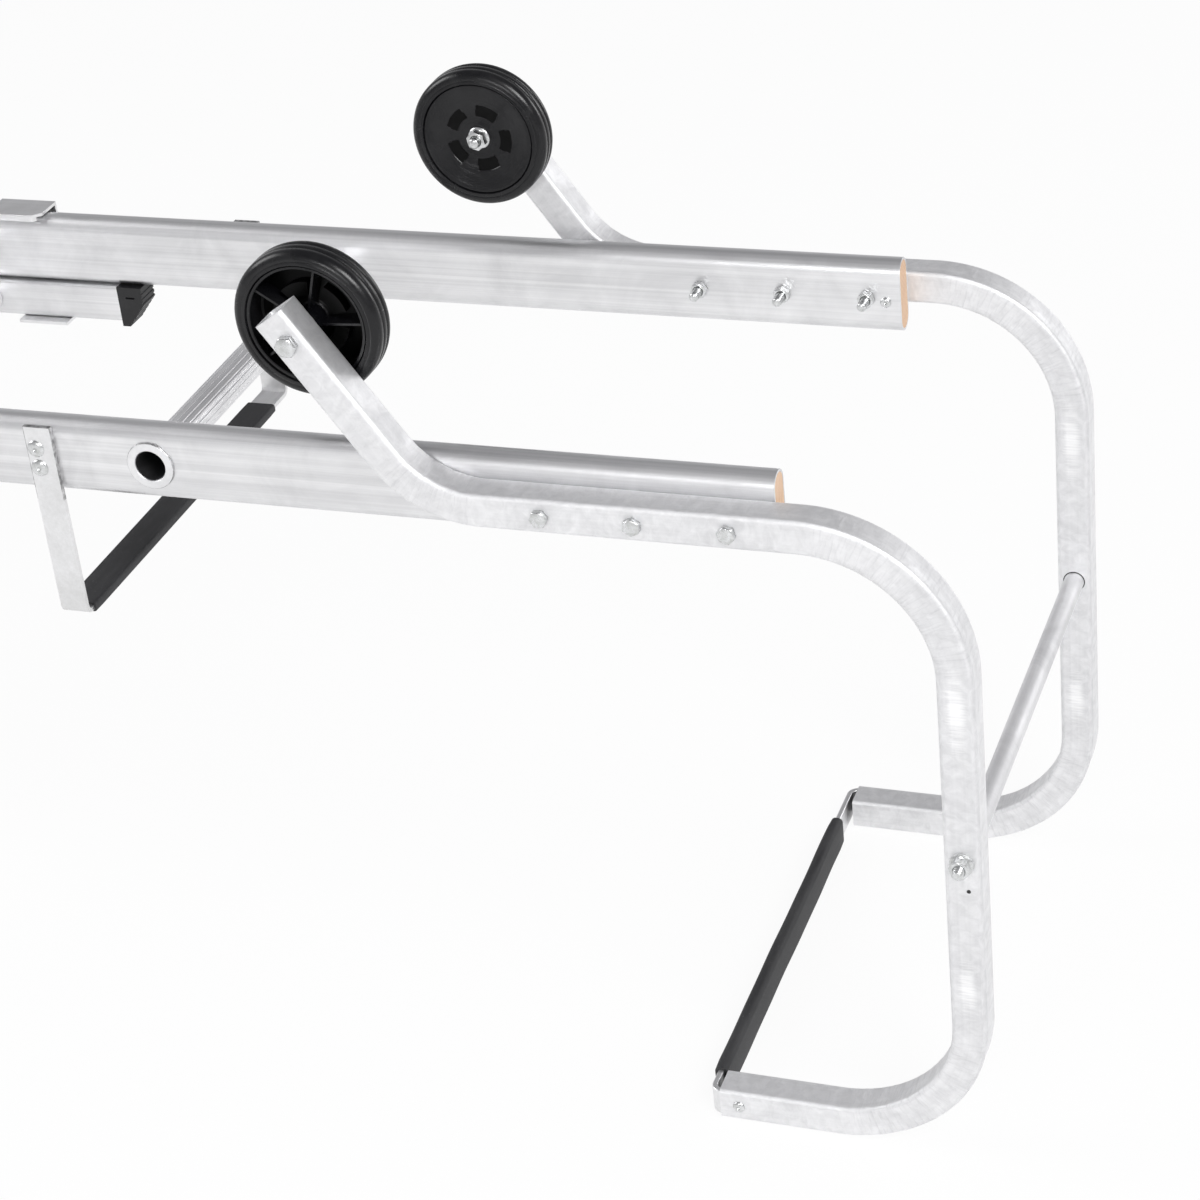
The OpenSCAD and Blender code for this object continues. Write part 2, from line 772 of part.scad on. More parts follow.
// Closes the foot end of an upper stile, plug towards +X
module upper_foot_cap(side) {
    color("dimgray") on_side(side) translate([foot_x, stile_y, upper_z]) difference() {
        union() {
            along_x(-cap_rim, cap_rim) oval(stile_w, stile_depth);
            along_x(-cap_rim, cap_rim + cap_plug)
                oval(stile_w - 2 * (stile_wall + seat), stile_depth - 2 * (stile_wall + seat));
        }
        along_x(0, cap_plug + over)
            oval(stile_w - 2 * (stile_wall + seat + cap_wall),
                stile_depth - 2 * (stile_wall + seat + cap_wall));
    }
}

// The side view of the base cap's nose, from the stile end at x = 0
module nose_side() {
    half = base_depth / 2;
    corner = [nose_foot, -half - nose_lip];
    front = [nose, half - nose_front];
    difference() {
        polygon([[0, half], [nose, half], front, corner, [0, -half - nose_lip]]);
        for (i = [1:front_ribs])
            translate([nose, half - i / (front_ribs + 0.5) * nose_front]) circle(d = rib_d);
        for (i = [1:slope_ribs])
            translate(front + i / (slope_ribs + 0.5) * (corner - front)) circle(d = rib_d);
    }
}

module base_top_cap(side) {
    color("dimgray") on_side(side) translate([base_top_x, 0, base_z]) difference() {
        union() {
            along_y(inner_y, stile_w) nose_side();
            translate([0, stile_y, 0]) along_x(-cap_plug, cap_plug + cap_rim)
                base_section(stile_wall + seat);
        }
        translate([0, stile_y, 0]) along_x(-cap_plug - over, cap_plug + over)
            base_section(stile_wall + seat + cap_wall);
        along_y(inner_y - over, cap_wall + over)
            translate([nose / 2, base_depth / 2 - mark_drop]) soft_rect(mark_len, mark_w, mark_r);
    }
}

// The ribbed rubber foot of a base stile, plug towards +X
module rubber_foot(side) {
    color("dimgray") on_side(side) translate([base_foot_x, stile_y, base_z]) difference() {
        union() {
            along_x(-foot_len, foot_len) base_section(-foot_swell);
            along_x(-foot_len / 2, foot_len / 2 + cap_plug) base_section(stile_wall + seat);
        }
        along_x(0, cap_plug + over) base_section(stile_wall + seat + cap_wall);
        for (i = [1:foot_grooves])
            rod_y(-foot_len, (i / (foot_grooves + 1) - 0.5) * (base_depth + 2 * foot_swell),
                foot_groove_d, -stile_w, 2 * stile_w);
    }
}

// Guide brackets: a folded plate, flush on one section and stepped out round the other

// Local axes: u from the section's end, y across the ladder, w from the plane between sections.
// The inner corners of the wide flange and its lip are cut off.
module guide(fixed_depth, held_depth) {
    w_low = -section_gap / 2 - fixed_depth - side_gap;
    w_high = section_gap / 2 + held_depth + guide_gap;
    lip_y = inner_y - lip_gap - guide_t;
    flush_y = half_w + guide_t;
    difference() {
        guide_plate(w_low, w_high, lip_y, flush_y);
        translate([0, 0, w_high - guide_lip]) linear_extrude(2 * guide_lip)
            for (u = [guide_skew, guide_skew + guide_len])
                translate([u, lip_y]) rotate(45) square(sqrt(2) * guide_chamfer, center = true);
    }
}

// The plate before its corners are cut: its section along u, within its outline seen along y
module guide_plate(w_low, w_high, lip_y, flush_y) {
    intersection() {
        along_x(-over, guide_len + guide_skew + 2 * over) polygon([
            [flush_y - guide_narrow, w_low - guide_t],
            [flush_y, w_low - guide_t],
            [flush_y, -joggle_half],
            [flush_y + joggle, joggle_half],
            [flush_y + joggle, w_high + guide_t],
            [lip_y, w_high + guide_t],
            [lip_y, w_high + guide_t - guide_lip],
            [lip_y + guide_t, w_high + guide_t - guide_lip],
            [lip_y + guide_t, w_high],
            [half_w + joggle, w_high],
            [half_w + joggle, joggle_half],
            [half_w, -joggle_half],
            [half_w, w_low],
            [flush_y - guide_narrow, w_low]
        ]);
        along_y(0, outer_y) polygon([
            [0, w_low - 2 * guide_t],
            [guide_foot_len, w_low - 2 * guide_t],
            [guide_foot_len, w_low + guide_t],
            [guide_skew + guide_len, w_high - guide_t],
            [guide_skew + guide_len, w_high + 2 * guide_t],
            [guide_skew, w_high + 2 * guide_t],
            [guide_skew, w_high - guide_t],
            [0, w_low + guide_t]
        ]);
    }
}

module guide_rivet_holes(fixed_depth) {
    for (s = [-1, 1])
        rod_y(guide_rivet_u + s * guide_rivet_gap / 2, -section_gap / 2 - fixed_depth / 2,
            rivet_hole_d, half_w - over, guide_t + 2 * over);
}

// On the base's top end, wrapped over the upper stile
module top_guide(side) {
    color("silver") on_side(side) translate([top_guide_x, 0, split_z]) mirror([1, 0, 0]) difference() {
        guide(base_depth, stile_depth);
        guide_rivet_holes(base_depth);
    }
}

// On the upper section's foot end, wrapped under the base stile
module foot_guide(side) {
    color("silver") on_side(side) translate([foot_guide_x, 0, split_z]) mirror([0, 0, 1]) difference() {
        guide(stile_depth, base_depth);
        guide_rivet_holes(stile_depth);
    }
}

// Stay hooks: a pair of swinging plates that reach up from the base and hold an upper rung

// The side view of a plate, its pivot at the origin, hanging towards -Z, mouth towards -X
module stay_side() {
    difference() {
        union() {
            circle(r = stay_boss_r);
            translate([-stay_arm_w / 2, -stay_r]) square([stay_arm_w, stay_r]);
            translate([0, -stay_r]) circle(r = mouth_r + jaw);
        }
        translate([0, -stay_r]) circle(r = mouth_r);
        intersection() {
            difference() {
                circle(r = stay_r + mouth_r);
                circle(r = stay_r - mouth_r);
            }
            translate([-2 * stay_r, -2 * stay_r]) square(2 * stay_r);
        }
    }
}

module stay_hook(side) {
    color("gray") on_side(side) translate([stay_x, 0, base_z]) difference() {
        along_y(stay_in_y, stay_t) stay_side();
        rod_y(0, 0, stay_pin_d + 2 * axle_fit, stay_in_y - over, stay_t + 2 * over);
        rod_y(0, -stay_tie_r, stay_tie_pin_d + 2 * seat, stay_in_y - over, stay_t + 2 * over);
    }
}

// A shouldered rivet in the inner wall of each base stile
module stay_pivots() {
    color("gainsboro") both_sides() {
        rod_y(stay_x, base_z, stay_pin_d, stay_in_y - run_gap - over,
            inner_y + stile_wall - stay_in_y + run_gap + 2 * over);
        rod_y(stay_x, base_z, stay_head_d, stay_out_y + run_gap, inner_y - stay_out_y - run_gap);
        rod_y(stay_x, base_z, stay_head_d, stay_in_y - run_gap - rivet_tail, rivet_tail);
        rod_y(stay_x, base_z, stay_tail_d, inner_y + stile_wall, rivet_tail);
    }
}

// The round bar that joins both stay hooks, its ends riveted over
module stay_tie_rod() {
    color("gainsboro") translate([stay_x, 0, base_z - stay_tie_r]) {
        rod_y(0, 0, stay_tie_d, -stay_in_y, 2 * stay_in_y);
        both_sides() {
            rod_y(0, 0, stay_tie_pin_d, stay_in_y - over, stay_t + 2 * over);
            rod_y(0, 0, stay_tie_d, stay_out_y, rivet_tail);
        }
    }
}

// Wheels: a moulded centre that turns on the axle bolt, and the tyre round it

// A curved pocket's outline, centred on the angle 0, grown by its wall or by 0
module kidney(wall) {
    half = slot_half + wall * 180 / (PI * slot_r);
    intersection() {
        difference() {
            circle(r = slot_r + slot_w / 2 + wall);
            circle(r = slot_r - slot_w / 2 - wall);
        }
        polygon([
            [0, 0],
            2 * slot_r * [cos(half), -sin(half)],
            2 * slot_r * [cos(half), sin(half)]
        ]);
    }
}

// A section of the centre, drawn as [radius, y]: y_up above the dish's outer face, out to the
// radius r and up to y_end
module centre_section(r, y_up, y_end) {
    face = y_up - rim_w / 2;
    dish_r = rim_r - rim_t;
    polygon(concat(
        [[0, face + dish_sink], [hub_d / 2, face + dish_sink], [dish_r, face]],
        r > dish_r ? [[r, face]] : [],
        [[r, y_end], [0, y_end]]
    ));
}

// Pockets between the spokes, drilled from the dish's side to the given depth
module pockets(turn, y0, depth, wall) {
    for (i = [0:spokes - 1])
        along_y(y0, depth) rotate(turn + (i + 0.5) * 360 / spokes) kidney(wall);
}

// Closed dish with blind pockets on the nut's side, spokes on the side next to the tube. The
// two wheels stand at different angles on their axles.
module wheel_centre(side) {
    turn = side == "near" ? 3 : 32;
    inside = rim_r - rim_t / 2;
    face = -rim_w / 2;
    color("dimgray") on_side(side) translate([axle_x, wheel_y, axle_z]) difference() {
        union() {
            difference() {
                about_y(0, 0, 0) centre_section(rim_r, 0, rim_w / 2);
                about_y(0, 0, 0) centre_section(rim_r - rim_t, dish_t, rim_w / 2 + over);
            }
            about_y(0, 0, 0) translate([0, -hub_in]) square([hub_d / 2, hub_in + hub_out]);
            intersection() {
                about_y(0, 0, 0) centre_section(inside, dish_t / 2, rim_w / 2 - spoke_inset);
                for (i = [0:spokes - 1])
                    along_y(face, rim_w) rotate(turn + i * 360 / spokes)
                        translate([bolt_d, -spoke_t / 2]) square([rim_r, spoke_t]);
            }
            intersection() {
                about_y(0, 0, 0) centre_section(inside, dish_t / 2, face + pocket_depth + pocket_wall);
                pockets(turn, face, rim_w, pocket_wall);
            }
        }
        pockets(turn, face - over, pocket_depth + over, 0);
        rod_y(0, 0, bolt_d + 2 * axle_fit, -hub_in - over, hub_in + hub_out + 2 * over);
    }
}

module tyre(side) {
    color("dimgray") on_side(side) translate([axle_x, wheel_y, axle_z]) about_y(0, 0, 0) difference() {
        intersection() {
            translate([centre_d / 2, -tyre_w / 2]) square([wheel_d / 2 - centre_d / 2, tyre_w]);
            translate([wheel_d / 4, 0]) soft_rect(wheel_d / 2, tyre_w, shoulder_r);
        }
        for (s = [-1, 1])
            translate([wheel_d / 2, s * tyre_w / 6]) circle(d = groove_d);
    }
}

upper_stile("near");  // upper_stile_near
upper_stile("far");  // upper_stile_far
for (i = [1:upper_rungs])
    rung(upper_rung_x[i - 1], upper_z, upper_rung_d, flare_reach);
stile_plug("near");  // stile_plug_near
stile_plug("far");  // stile_plug_far
hook_tube("near");  // hook_tube_near
hook_tube("far");  // hook_tube_far
plug_screws();
hook_bolts();
hook_nuts();
flange_nuts();
washers();
cross_tube();
cross_rod();
ridge_bar();
ridge_sleeve();
ridge_rivets();
bearer_bar();
bearer_sleeve(0);
upper_rivets();
upper_foot_cap("near");  // upper_foot_cap_near
upper_foot_cap("far");  // upper_foot_cap_far
foot_guide("near");  // foot_guide_near
foot_guide("far");  // foot_guide_far
base_stile("near");  // base_stile_near
base_stile("far");  // base_stile_far
for (i = [1:base_rungs])
    rung(base_rung_x[i - 1], base_z, base_rung_d, base_flare_reach);
base_top_cap("near");  // base_top_cap_near
base_top_cap("far");  // base_top_cap_far
top_guide("near");  // top_guide_near
top_guide("far");  // top_guide_far
rubber_foot("near");  // rubber_foot_near
rubber_foot("far");  // rubber_foot_far
base_bearer_bar();
bearer_sleeve(base_bearer_x);  // base_bearer_sleeve
base_rivets();
stay_hook("near");  // stay_hook_near
stay_hook("far");  // stay_hook_far
stay_tie_rod();
stay_pivots();
axle_bolts();
wheel_centre("near");  // wheel_centre_near
wheel_centre("far");  // wheel_centre_far
tyre("near");  // tyre_near
tyre("far");  // tyre_far
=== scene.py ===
import math

import bmesh
import bpy
from mathutils import Euler, Matrix, Vector


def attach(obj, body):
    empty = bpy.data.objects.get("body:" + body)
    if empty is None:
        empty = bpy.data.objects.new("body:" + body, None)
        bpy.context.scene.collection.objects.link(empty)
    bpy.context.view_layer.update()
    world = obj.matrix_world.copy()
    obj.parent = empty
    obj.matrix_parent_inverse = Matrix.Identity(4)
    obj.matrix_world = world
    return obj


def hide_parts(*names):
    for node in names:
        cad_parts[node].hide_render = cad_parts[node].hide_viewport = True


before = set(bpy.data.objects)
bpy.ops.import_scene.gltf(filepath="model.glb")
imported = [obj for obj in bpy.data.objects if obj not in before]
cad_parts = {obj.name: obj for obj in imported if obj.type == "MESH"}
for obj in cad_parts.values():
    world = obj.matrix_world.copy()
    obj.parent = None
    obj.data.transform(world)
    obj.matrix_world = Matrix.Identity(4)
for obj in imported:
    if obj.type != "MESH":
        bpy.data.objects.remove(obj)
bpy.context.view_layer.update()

# View, floor and light
# The ladder lies on its hooks, so the view is rolled a little against it. The floor is plain
# and pale. A pale room with a darker upper wall gives the bare metal something to mirror.

scene = bpy.context.scene
scene.view_settings.view_transform = "Standard"

view_turn, view_height, view_roll = (math.radians(d) for d in (22.425, 30.556, -6.449))
camera_place = (1.0563, -1.7586, 1.0674)
lens_mm, sensor_mm, frame_shift, far_limit = 90.29, 36, (0.00125, 0.0003), 60

view_forward = Vector((-math.sin(view_turn) * math.cos(view_height),
                       math.cos(view_turn) * math.cos(view_height),
                       -math.sin(view_height)))
level_right = Vector((math.cos(view_turn), math.sin(view_turn), 0))
level_up = level_right.cross(view_forward)
view_right = level_right * math.cos(view_roll) + level_up * math.sin(view_roll)
view_up = level_up * math.cos(view_roll) - level_right * math.sin(view_roll)

camera = bpy.data.objects.new("camera", bpy.data.cameras.new("camera"))
camera.data.lens = lens_mm
camera.data.sensor_width = sensor_mm
camera.data.shift_x, camera.data.shift_y = frame_shift
camera.data.clip_end = far_limit
camera.matrix_world = Matrix.Translation(camera_place) @ Matrix(
    (view_right, view_up, -view_forward)).transposed().to_4x4()
scene.collection.objects.link(camera)
scene.camera = camera


def new_node(tree, kind, **settings):
    node = tree.nodes.new(kind)
    for key, value in settings.items():
        setattr(node, key, value)
    return node


def new_material(name):
    """A material, its node tree and its shader."""
    material = bpy.data.materials.new(name)
    material.use_nodes = True
    return material, material.node_tree, material.node_tree.nodes["Principled BSDF"]


def sums(tree, operation, a, b=0.0):
    """One step of arithmetic on two sockets or numbers."""
    node = new_node(tree, "ShaderNodeMath", operation=operation)
    for socket, value in zip(node.inputs, (a, b)):
        if isinstance(value, (int, float)):
            socket.default_value = value
        else:
            tree.links.new(value, socket)
    return node.outputs[0]


floor_level, floor_half = -0.3602, 12
floor_mesh = bpy.data.meshes.new("floor")
floor_mesh.from_pydata([(x * floor_half, y * floor_half, floor_level)
                        for x, y in ((-1, -1), (1, -1), (1, 1), (-1, 1))], [], [(0, 1, 2, 3)])
floor = bpy.data.objects.new("floor", floor_mesh)
scene.collection.objects.link(floor)

# The floor is white to the eye, a little less so in the metal, and plain paint to the light.
seen_white, mirrored_white = 0.93, 0.645
floor_paint, tree, bsdf = new_material("floor_paint")
bsdf.inputs["Base Color"].default_value = (0.82, 0.82, 0.82, 1)
bsdf.inputs["Roughness"].default_value = 0.9
white = new_node(tree, "ShaderNodeEmission")
seen = new_node(tree, "ShaderNodeLightPath")
share = sums(tree, "MAXIMUM", sums(tree, "MULTIPLY", seen.outputs["Is Camera Ray"], seen_white),
             sums(tree, "MULTIPLY", seen.outputs["Is Glossy Ray"], mirrored_white))
blend = new_node(tree, "ShaderNodeMixShader")
tree.links.new(share, blend.inputs[0])
tree.links.new(bsdf.outputs[0], blend.inputs[1])
tree.links.new(white.outputs[0], blend.inputs[2])
tree.links.new(blend.outputs[0], tree.nodes["Material Output"].inputs["Surface"])
floor_mesh.materials.append(floor_paint)

# The room's tones, from the horizon and below (0) to straight overhead (1)
horizon_tone, overhead_tone = (0.50, 0.50, 0.51, 1), (0.30, 0.30, 0.31, 1)
wall_tones = ((0.25, (0.46, 0.46, 0.47, 1)), (0.50, (0.42, 0.42, 0.43, 1)),
              (0.75, (0.24, 0.238, 0.245, 1)))
room = bpy.data.worlds.new("room")
scene.world = room
room.use_nodes = True
tree = room.node_tree
where = new_node(tree, "ShaderNodeTexCoord")
split = new_node(tree, "ShaderNodeSeparateXYZ")
walls = new_node(tree, "ShaderNodeValToRGB")
ramp = walls.color_ramp
ramp.elements[0].color, ramp.elements[1].color = horizon_tone, overhead_tone
for place, colour in wall_tones:
    ramp.elements.new(place).color = colour
seen = new_node(tree, "ShaderNodeLightPath")
white = new_node(tree, "ShaderNodeBackground")
blend = new_node(tree, "ShaderNodeMixShader")
tree.links.new(where.outputs["Generated"], split.inputs[0])
tree.links.new(split.outputs["Z"], walls.inputs[0])
tree.links.new(walls.outputs[0], tree.nodes["Background"].inputs["Color"])
tree.nodes["Background"].inputs["Strength"].default_value = 1.0
white.inputs["Color"].default_value = (1, 1, 1, 1)
tree.links.new(seen.outputs["Is Camera Ray"], blend.inputs[0])
tree.links.new(tree.nodes["Background"].outputs[0], blend.inputs[1])
tree.links.new(white.outputs[0], blend.inputs[2])
tree.links.new(blend.outputs[0], tree.nodes["World Output"].inputs["Surface"])

# Lamps: where each stands, what it looks at, the side of its square in metres, and its watts
for name, place, aim, size, power in (
        ("key_lamp", (2.9, -2.2, 3.0), (0.2, -0.3, -0.2), 1.9, 150),
        ("side_lamp", (-3.4, -0.6, 2.2), (-0.3, -0.3, -0.2), 2.0, 65),
        ("front_lamp", (0.1, -3.5, 1.1), (0.1, 0, 0), 0.7, 20),
        ("back_lamp", (2.4, 3.3, 0.85), (0.3, 0.1, 0), 1.3, 22)):
    lamp = bpy.data.objects.new(name, bpy.data.lights.new(name, "AREA"))
    lamp.data.size = size
    lamp.data.energy = power
    lamp.location = place
    lamp.rotation_euler = (Vector(aim) - Vector(place)).to_track_quat("-Z", "Y").to_euler()
    scene.collection.objects.link(lamp)

# Stiles
# The four stiles are drawn aluminium box sections with a mill finish: fine lines from the
# die run along them, with handling scratches and a dull film of oxide.


def new_group(name, inputs, outputs):
    """An empty shader node group with its sockets."""
    group = bpy.data.node_groups.new(name, "ShaderNodeTree")
    for socket, kind, value in inputs:
        made = group.interface.new_socket(socket, in_out="INPUT", socket_type=kind)
        if value is not None:
            made.default_value = value
    for socket, kind in outputs:
        group.interface.new_socket(socket, in_out="OUTPUT", socket_type=kind)
    return group, new_node(group, "NodeGroupInput"), new_node(group, "NodeGroupOutput")


def scaled(tree, vector, scale):
    """The vector times a fixed scale on each axis."""
    node = new_node(tree, "ShaderNodeVectorMath", operation="MULTIPLY")
    node.inputs[1].default_value = scale
    tree.links.new(vector, node.inputs[0])
    return node.outputs[0]


def noise(tree, vector, scale, detail, rough=0.5, warp=0.0):
    node = new_node(tree, "ShaderNodeTexNoise")
    node.inputs["Scale"].default_value = scale
    node.inputs["Detail"].default_value = detail
    node.inputs["Roughness"].default_value = rough
    node.inputs["Distortion"].default_value = warp
    tree.links.new(vector, node.inputs["Vector"])
    return node.outputs["Fac"]


def remap(tree, value, low, high, to_low=0.0, to_high=1.0):
    node = new_node(tree, "ShaderNodeMapRange")
    for socket, number in zip(("From Min", "From Max", "To Min", "To Max"),
                              (low, high, to_low, to_high)):
        node.inputs[socket].default_value = number
    tree.links.new(value, node.inputs["Value"])
    return node.outputs[0]


def largest(tree, values):
    found = values[0]
    for value in values[1:]:
        found = sums(tree, "MAXIMUM", found, value)
    return found


# Drawn lines: X of the vector runs along the section, in metres.
drawn_lines, g_in, g_out = new_group(
    "drawn_lines", [("Vector", "NodeSocketVector", None)],
    [("Fine", "NodeSocketFloat"), ("Streak", "NodeSocketFloat"), ("Broad", "NodeSocketFloat")])
for layer, stretch, detail, rough in (("Fine", (3, 1500, 1500), 2, 0.5),
                                      ("Streak", (2.5, 430, 430), 3, 0.6),
                                      ("Broad", (1.2, 160, 160), 3, 0.5)):
    vector = scaled(drawn_lines, g_in.outputs[0], stretch)
    drawn_lines.links.new(noise(drawn_lines, vector, 1, detail, rough), g_out.inputs[layer])

# Handling: short scratches that cross each other, and soft smears of oxide and hand marks.
handling, g_in, g_out = new_group(
    "handling", [("Vector", "NodeSocketVector", None), ("Amount", "NodeSocketFloat", 0.5)],
    [("Scratches", "NodeSocketFloat"), ("Smears", "NodeSocketFloat"),
     ("Mottle", "NodeSocketFloat")])
sets = []
for turn, stretch in (((0.2, 0.5, 0.35), (14, 700, 700)), ((1.1, 0.3, -0.8), (22, 900, 900))):
    turned = new_node(handling, "ShaderNodeVectorRotate", rotation_type="EULER_XYZ")
    turned.inputs["Rotation"].default_value = turn
    handling.links.new(g_in.outputs["Vector"], turned.inputs["Vector"])
    lines = noise(handling, scaled(handling, turned.outputs[0], stretch), 1, 2)
    sets.append(remap(handling, lines, 0.69, 0.74))
patches = remap(handling, noise(handling, g_in.outputs["Vector"], 11, 3), 0.45, 0.65)
scratched = sums(handling, "MULTIPLY", largest(handling, sets), patches)
handling.links.new(sums(handling, "MULTIPLY", scratched, g_in.outputs["Amount"]),
                   g_out.inputs["Scratches"])
handling.links.new(noise(handling, g_in.outputs["Vector"], 16, 5, 0.6, 1.2),
                   g_out.inputs["Smears"])
handling.links.new(noise(handling, g_in.outputs["Vector"], 130, 4, 0.6, 0.6),
                   g_out.inputs["Mottle"])


def mix_colour(tree, share, a, b):
    """a where the share is 0 and b where it is 1. Each is a colour or a socket."""
    node = new_node(tree, "ShaderNodeMix", data_type="RGBA")
    tree.links.new(share, node.inputs[0])
    for socket, value in zip((node.inputs[6], node.inputs[7]), (a, b)):
        if isinstance(value, tuple):
            socket.default_value = (*value, 1)
        else:
            tree.links.new(value, socket)
    return node.outputs[2]


def painted(tree, where, colour):
    """Lays a colour over the material's own where the mask is 1."""
    base = tree.nodes["Principled BSDF"].inputs["Base Color"]
    tree.links.new(mix_colour(tree, where, base.links[0].from_socket, colour), base)


def bumped(tree, height, depth):
    """Raises the surface by depth metres where the height is 1."""
    node = new_node(tree, "ShaderNodeBump")
    node.inputs["Strength"].default_value = 1.0
    node.inputs["Distance"].default_value = depth
    tree.links.new(height, node.inputs["Height"])
    tree.links.new(node.outputs[0], tree.nodes["Principled BSDF"].inputs["Normal"])


def place_vector(tree, turn=(0, 0, 0), uv=None):
    """Object coordinates turned so that X runs along the piece, or the piece's own UV map."""
    if uv:
        return new_node(tree, "ShaderNodeUVMap", uv_map=uv).outputs[0]
    source = new_node(tree, "ShaderNodeTexCoord").outputs["Object"]
    if not any(turn):
        return source
    node = new_node(tree, "ShaderNodeMapping")
    node.inputs["Rotation"].default_value = turn
    tree.links.new(source, node.inputs["Vector"])
    return node.outputs[0]


# Shares of the broad bands and of the streaks in a metal's tone. Smears take what is left.
broad_share, streak_share = 0.25, 0.35
mill_depth = 0.00006


def mill_metal(name, light, dark, rough, turn=(0, 0, 0), uv=None, scratches=0.5, lines=1.0,
               mottle=0.0):
    """Bare drawn metal. light and dark are its two tones, rough its least and most roughness."""
    metal, tree, bsdf = new_material(name)
    vector = place_vector(tree, turn, uv)
    die = new_node(tree, "ShaderNodeGroup", node_tree=drawn_lines)
    marks = new_node(tree, "ShaderNodeGroup", node_tree=handling)
    marks.inputs["Amount"].default_value = scratches
    tree.links.new(vector, die.inputs[0])
    tree.links.new(vector, marks.inputs["Vector"])
    smear_share = 1.0 - (broad_share + streak_share) * lines - mottle
    tone = sums(tree, "MULTIPLY", die.outputs["Broad"], broad_share * lines)
    for layer, share in ((die.outputs["Streak"], streak_share * lines),
                         (marks.outputs["Mottle"], mottle), (marks.outputs["Smears"], smear_share)):
        tone = sums(tree, "ADD", tone, sums(tree, "MULTIPLY", layer, share))
    tree.links.new(mix_colour(tree, remap(tree, tone, 0.38, 0.62), light, dark),
                   bsdf.inputs["Base Color"])
    painted(tree, sums(tree, "MULTIPLY", marks.outputs["Scratches"], 0.5), (0.93, 0.93, 0.93))
    bsdf.inputs["Metallic"].default_value = 1.0
    tree.links.new(remap(tree, marks.outputs["Smears"], 0.3, 0.7, *rough),
                   bsdf.inputs["Roughness"])
    height = sums(tree, "MULTIPLY", die.outputs["Fine"], lines)
    for layer, share in ((marks.outputs["Scratches"], -1.0), (die.outputs["Streak"], 1.5 * lines),
                         (marks.outputs["Mottle"], 6 * mottle)):
        height = sums(tree, "ADD", height, sums(tree, "MULTIPLY", layer, share))
    bumped(tree, height, mill_depth)
    return metal


def dress(material, *nodes):
    """Gives CAD nodes their material."""
    for node in nodes:
        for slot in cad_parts[node].material_slots:
            slot.material = material


stile_metal = mill_metal("stile_metal", (0.90, 0.90, 0.91), (0.70, 0.70, 0.71), (0.34, 0.46))
dress(stile_metal, "upper_stile_near", "upper_stile_far", "base_stile_near", "base_stile_far")

# Rungs
# The rungs are fluted tubes of the same metal, drawn along their own length and open right
# through. Both ends are rolled over the stile to a ring.

rung_metal = mill_metal("rung_metal", (0.92, 0.92, 0.93), (0.77, 0.77, 0.78), (0.40, 0.54),
                        turn=(0, 0, math.pi / 2), scratches=0.3, lines=0.5)

# Dirt that no rag reaches and painted contact shadow, broken up over the places that Where marks
dirt_and_contact_shade, g_in, g_out = new_group(
    "dirt_and_contact_shade", [("Vector", "NodeSocketVector", None), ("Where", "NodeSocketFloat", 0.0)],
    [("Share", "NodeSocketFloat")])
grime_and_shade = remap(dirt_and_contact_shade, noise(dirt_and_contact_shade, g_in.outputs["Vector"], 260, 2),
              0.35, 0.6, 0.25, 0.85)
dirt_and_contact_shade.links.new(sums(dirt_and_contact_shade, "MULTIPLY", g_in.outputs["Where"], grime_and_shade),
                      g_out.inputs["Share"])


def place_parts(tree):
    """X, Y and Z of the Object coordinates, each as its own socket."""
    split = new_node(tree, "ShaderNodeSeparateXYZ")
    tree.links.new(place_vector(tree), split.inputs[0])
    return split.outputs


# Lays the dirt and the painted contact shadow over the base colour.
def dirtied_and_shaded(tree, where):
    dirt = new_node(tree, "ShaderNodeGroup", node_tree=dirt_and_contact_shade)
    tree.links.new(place_vector(tree), dirt.inputs["Vector"])
    tree.links.new(where, dirt.inputs["Where"])
    painted(tree, dirt.outputs["Share"], (0.20, 0.20, 0.20))


def squared(tree, value):
    return sums(tree, "MULTIPLY", value, value)


# Dirt and a painted contact shadow sit round the rolled rings, and the bores are painted dark
# for the shade inside them. Both are told by the distance from the nearest rung's axis: height,
# radius of the bore, radius of the ring.
rung_pitch, first_rung_x = 0.315, 0.083
upper_rung, base_rung = (0.1285, 0.0115, 0.0177), (0.08475, 0.0089, 0.0135)
dirt_and_shade_half = 0.0005
tree = rung_metal.node_tree
place = place_parts(tree)
wrapped = new_node(tree, "ShaderNodeMath", operation="WRAP")
tree.links.new(sums(tree, "SUBTRACT", place["X"], first_rung_x), wrapped.inputs[0])
wrapped.inputs[1].default_value = rung_pitch / 2
wrapped.inputs[2].default_value = -rung_pitch / 2
painted_bore_shade, rims = [], []
for axis_z, bore_r, ring_r in (upper_rung, base_rung):
    away = sums(tree, "ADD", squared(tree, wrapped.outputs[0]),
                squared(tree, sums(tree, "SUBTRACT", place["Z"], axis_z)))
    painted_bore_shade.append(sums(tree, "LESS_THAN", away, bore_r ** 2))
    rims.append(sums(tree, "SUBTRACT", sums(tree, "LESS_THAN", away, (ring_r + dirt_and_shade_half) ** 2),
                     sums(tree, "LESS_THAN", away, (ring_r - dirt_and_shade_half) ** 2)))
dirtied_and_shaded(tree, largest(tree, rims))
painted(tree, largest(tree, painted_bore_shade), (0.22, 0.22, 0.23))
dress(rung_metal, *[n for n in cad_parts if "_rung_" in n])

# Timber plugs
# A planed softwood block fills the top end of each upper stile, so that the hook bolts can be
# pulled tight. Only its sawn end shows, flush with the end of the stile.

